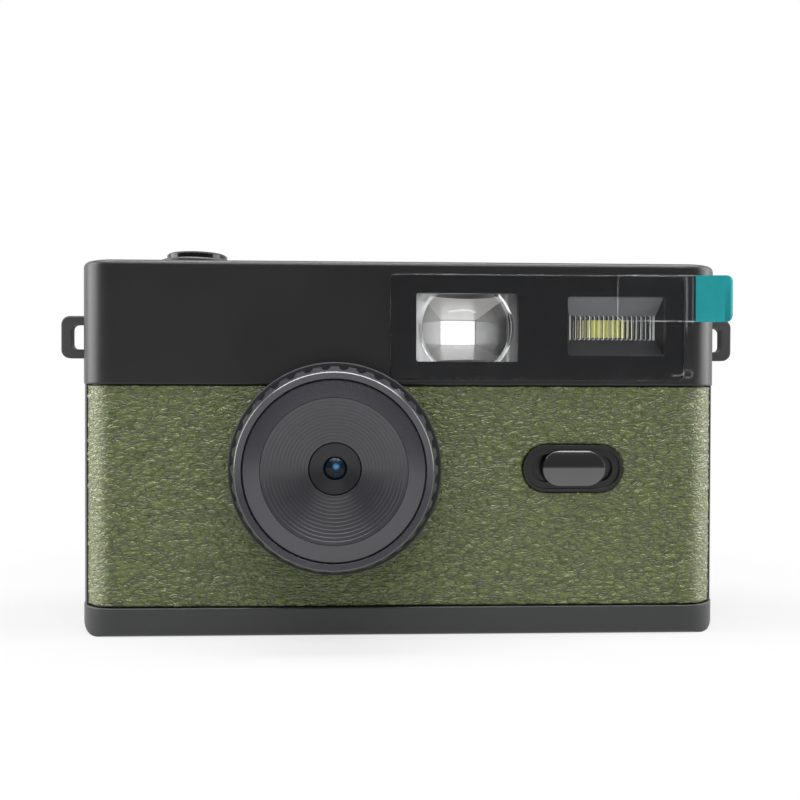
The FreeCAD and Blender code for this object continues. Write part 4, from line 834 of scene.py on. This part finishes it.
def ridge(distance, width):
    return math.exp(-(distance / width) ** 2)


def film_crease(x, z):
    """How creased the film is, from 0 to 1, at millimetres left of and above its lower right corner."""
    wander = 0.12 * noise.noise(Vector((0.0, 3.0, z / 1.5)))
    upright = ridge(x - 1.75 - wander, 0.11) * ease(z, 7.5, 10.5)
    second = 0.7 * ridge(x - 0.65 + wander, 0.08) * ease(z, 8.5, 11.0)
    bubble = math.hypot((x - 1.45) / 0.80, (z - 0.95) / 0.66)
    ring = ridge(bubble - 1.0, 0.16) * (0.5 + 0.7 * noise.noise(Vector((x * 2.3, 0, z * 2.3))))
    tail_z = 0.85 + 0.2 * math.sin(x * 1.3)
    tail = 0.8 * ridge(z - tail_z, 0.07) * ease(x, 2.1, 2.5) * (1.0 - ease(x, 3.6, 4.8))
    return min(1.0, max(0.0, upright + second + ring + tail))


def film_sheet():
    shape = bmesh.new()
    bmesh.ops.create_grid(shape, x_segments=film_grid[0], y_segments=film_grid[1], size=0.5)
    crease = shape.verts.layers.float.new("crease")
    size = film_high - film_low
    centre = (film_high + film_low) / 2
    for point in shape.verts:
        x = centre.x + point.co.x * size.x
        z = centre.z + point.co.y * size.z
        creased = film_crease((film_high.x - x) / mm, (z - film_low.z) / mm)
        wave = 0.5 + 0.5 * noise.noise(Vector((x / (9.0 * mm), 0.0, z / (6.0 * mm))))
        past = max(0.0, x - front_half)
        fall = wrap_radius - math.sqrt(wrap_radius ** 2 - past ** 2)
        point[crease] = creased
        y = film_high.y - film_lift - crease_rise * creased - wave_rise * wave + follows_corner * fall
        point.co = Vector((x, y, z))
    over_drum = [face for face in shape.faces
                 if (face.calc_center_median() - drum_centre).xz.length < drum_radius + drum_gap]
    bmesh.ops.delete(shape, geom=over_drum, context="FACES")
    bmesh.ops.solidify(shape, geom=list(shape.faces), thickness=film_thickness)
    bmesh.ops.recalc_face_normals(shape, faces=shape.faces)
    return shape


make_piece("window_film", film_sheet(), film_clear, stands_for=["protective_film"])

# %% [markdown]
# The tape over the film starts as a flat strip with round corners. It is sliced across so that it can bend,
# and from the start of its teal tab it curls forward, more and more towards the free end.

# %% Tape and tab
tape_slices = 60
tape_sink = 0.02 * mm
tape_thickness = 0.08 * mm
curl_slope = 0.010
curl_growth = 8.0


def tape_strip():
    shape = bmesh.new()
    bmesh.ops.create_grid(shape, x_segments=1, y_segments=1, size=0.5)
    size = tape_high - tape_low
    bmesh.ops.scale(shape, vec=(size.x, size.z, 1.0), verts=shape.verts)
    bmesh.ops.bevel(shape, geom=list(shape.verts), offset=tape_corner, segments=6, profile=0.5,
                    affect="VERTICES", material=-1)
    for step in range(1, tape_slices):
        cut_at = (step / tape_slices - 0.5) * size.x
        everything = list(shape.verts) + list(shape.edges) + list(shape.faces)
        bmesh.ops.bisect_plane(shape, geom=everything, plane_co=(cut_at, 0, 0), plane_no=(1, 0, 0))
    centre = (tape_high + tape_low) / 2
    for point in shape.verts:
        x = centre.x + point.co.x
        z = centre.z + point.co.y
        free = max(0.0, x - tab_start)
        curl = curl_slope * free + curl_growth * free * free
        point.co = Vector((x, tape_low.y + tape_sink - curl, z))
    bmesh.ops.solidify(shape, geom=list(shape.faces), thickness=tape_thickness)
    bmesh.ops.recalc_face_normals(shape, faces=shape.faces)
    return shape


make_piece("pull_tape", tape_strip(), tape_teal, stands_for=["pull_tab"], sharp=30.0)

# %% [markdown]
# ## Studio
#
# The photograph is a packshot: white floor and background, a broad soft lamp above, and a dimmer room
# behind the photographer. Black plastic shows little but reflections, so those three brightnesses are what
# shapes it. For reflections the world is white behind the object and dim in front of it. The eye sees it
# white all round, and the light that it casts is an even grey.

# %% World
white = (1.0, 1.0, 1.0)
dim_room = (0.15, 0.15, 0.155)
cast_grey = (0.25, 0.25, 0.255)


def in_reflection(start):
    """1 for rays that come by way of gloss or clear plastic, and 0 for all others."""
    return ray_kind(start, "Is Glossy Ray") + ray_kind(start, "Is Transmission Ray")


def studio_world():
    world = bpy.data.worlds.new("studio_air")
    world.use_nodes = True
    world.node_tree.nodes.clear()
    bpy.context.scene.world = world
    start = Wire(world.node_tree)
    towards = start.node("ShaderNodeTexCoord", {}, {}, "Generated")
    behind = steps(along_axis(towards, "Y"), -0.35, 0.15)
    mirrored = blend_colours(behind, dim_room, white)
    colour = blend_colours(in_reflection(start).clamped(), cast_grey, mirrored)
    colour = blend_colours(ray_kind(start, "Is Camera Ray"), colour, white)
    shown = start.node("ShaderNodeBackground", {}, {"Color": colour, "Strength": 1.0})
    start.node("ShaderNodeOutputWorld", {}, {"Surface": shown})


studio_world()
print("world:", bpy.context.scene.world.name)

# %% [markdown]
# The floor of a packshot is burnt out to white, and yet the object stands in a soft shadow. So the floor is
# partly paper, which takes the shadow, and partly plain white, which takes over further out. Reflections see
# it white as well, dimmer towards the photographer, and all other rays meet nothing but paper.

# %% Floor
floor_reach = 4.0
shadow_from, shadow_to = 75.0 * mm, 130.0 * mm
dim_from, dim_to = -0.55, -0.20


def studio_floor():
    mesh = bpy.data.meshes.new("floor")
    shape = bmesh.new()
    bmesh.ops.create_grid(shape, x_segments=1, y_segments=1, size=floor_reach)
    shape.to_mesh(mesh)
    shape.free()
    floor = linked("floor", mesh)
    material, start = new_finish("floor_white")
    spot = place(start)
    paper = blend_colours(cloud(spot, 900.0, 3.0), (0.46, 0.46, 0.46), (0.48, 0.48, 0.48))
    lit = start.node("ShaderNodeBsdfDiffuse", {}, {"Color": paper})
    plain = start.node("ShaderNodeEmission", {}, {"Color": (*white, 1.0), "Strength": 1.0})
    away = start.node("ShaderNodeVectorMath", {"operation": "LENGTH"}, {0: spot}, "Value")
    share = steps(away, shadow_from, shadow_to, 0.73, 1.0)
    reflected = in_reflection(start) * steps(along_axis(spot, "Y"), dim_from, dim_to, 0.25, 1.0)
    seen = (ray_kind(start, "Is Camera Ray") + reflected).clamped()
    finish_with(material, mix_shaders(seen * share, lit, plain))
    mesh.materials.append(material)
    print("floor, metres across:", 2 * floor_reach)


studio_floor()

# %% [markdown]
# Four soft lamps add to the light of the world: a long one straight above, which draws the bright top edges,
# one high in front, and one at either side for the pale corners.

# %% Lamps
def soft_lamp(name, place_at, size, power):
    """A rectangle of light, turned to the middle of the object; metres and watts."""
    data = bpy.data.lights.new(name, "AREA")
    data.shape = "RECTANGLE"
    data.size = size[0]
    data.size_y = size[1]
    data.energy = power
    lamp = linked(name, data)
    lamp.location = place_at
    lamp.rotation_euler = (lamp_aim - Vector(place_at)).to_track_quat("-Z", "Y").to_euler()
    print(name, power, "W")


lamp_aim = Vector((0.0, 0.0, 0.035))
soft_lamp("lamp_above", (0.0, -0.03, 0.52), (0.9, 0.12), 4.4)
soft_lamp("lamp_high_front", (0.0, -0.36, 0.52), (0.7, 0.16), 2.6)
soft_lamp("lamp_left", (-0.6, -0.02, 0.20), (0.4, 0.45), 2.4)
soft_lamp("lamp_right", (0.6, -0.02, 0.20), (0.4, 0.45), 2.0)

# %% [markdown]
# ## Camera
#
# The photograph was taken from close by, slightly above the lens and a little left of the middle, so the
# perspective is strong. Its position, turn and focal length were worked out from the object's known corners.

# %% Camera
eye_place = (-0.0079, -0.1536, 0.04328)
yaw, pitch, roll = 0.036, 0.012, 0.003
focal_length = 36.73
picture_shift = (0.0155, -0.0036)


def photo_camera():
    data = bpy.data.cameras.new("photo_camera")
    data.lens = focal_length
    data.sensor_width = 36.0
    data.shift_x, data.shift_y = picture_shift
    data.clip_start = 0.01
    eye = linked("photo_camera", data)
    right = Vector((math.cos(yaw), -math.sin(yaw), 0.0))
    ahead = Vector((math.sin(yaw), math.cos(yaw), 0.0))
    look = ahead * math.cos(pitch) - Vector((0, 0, 1)) * math.sin(pitch)
    up = right.cross(look)
    side = right * math.cos(roll) + up * math.sin(roll)
    top = up * math.cos(roll) - right * math.sin(roll)
    turn = Matrix((side, top, -look)).transposed().to_4x4()
    eye.matrix_world = Matrix.Translation(eye_place) @ turn
    bpy.context.scene.camera = eye


photo_camera()
bpy.context.scene.view_settings.view_transform = "Standard"
print("camera at, mm:", [round(value / mm, 1) for value in eye_place])
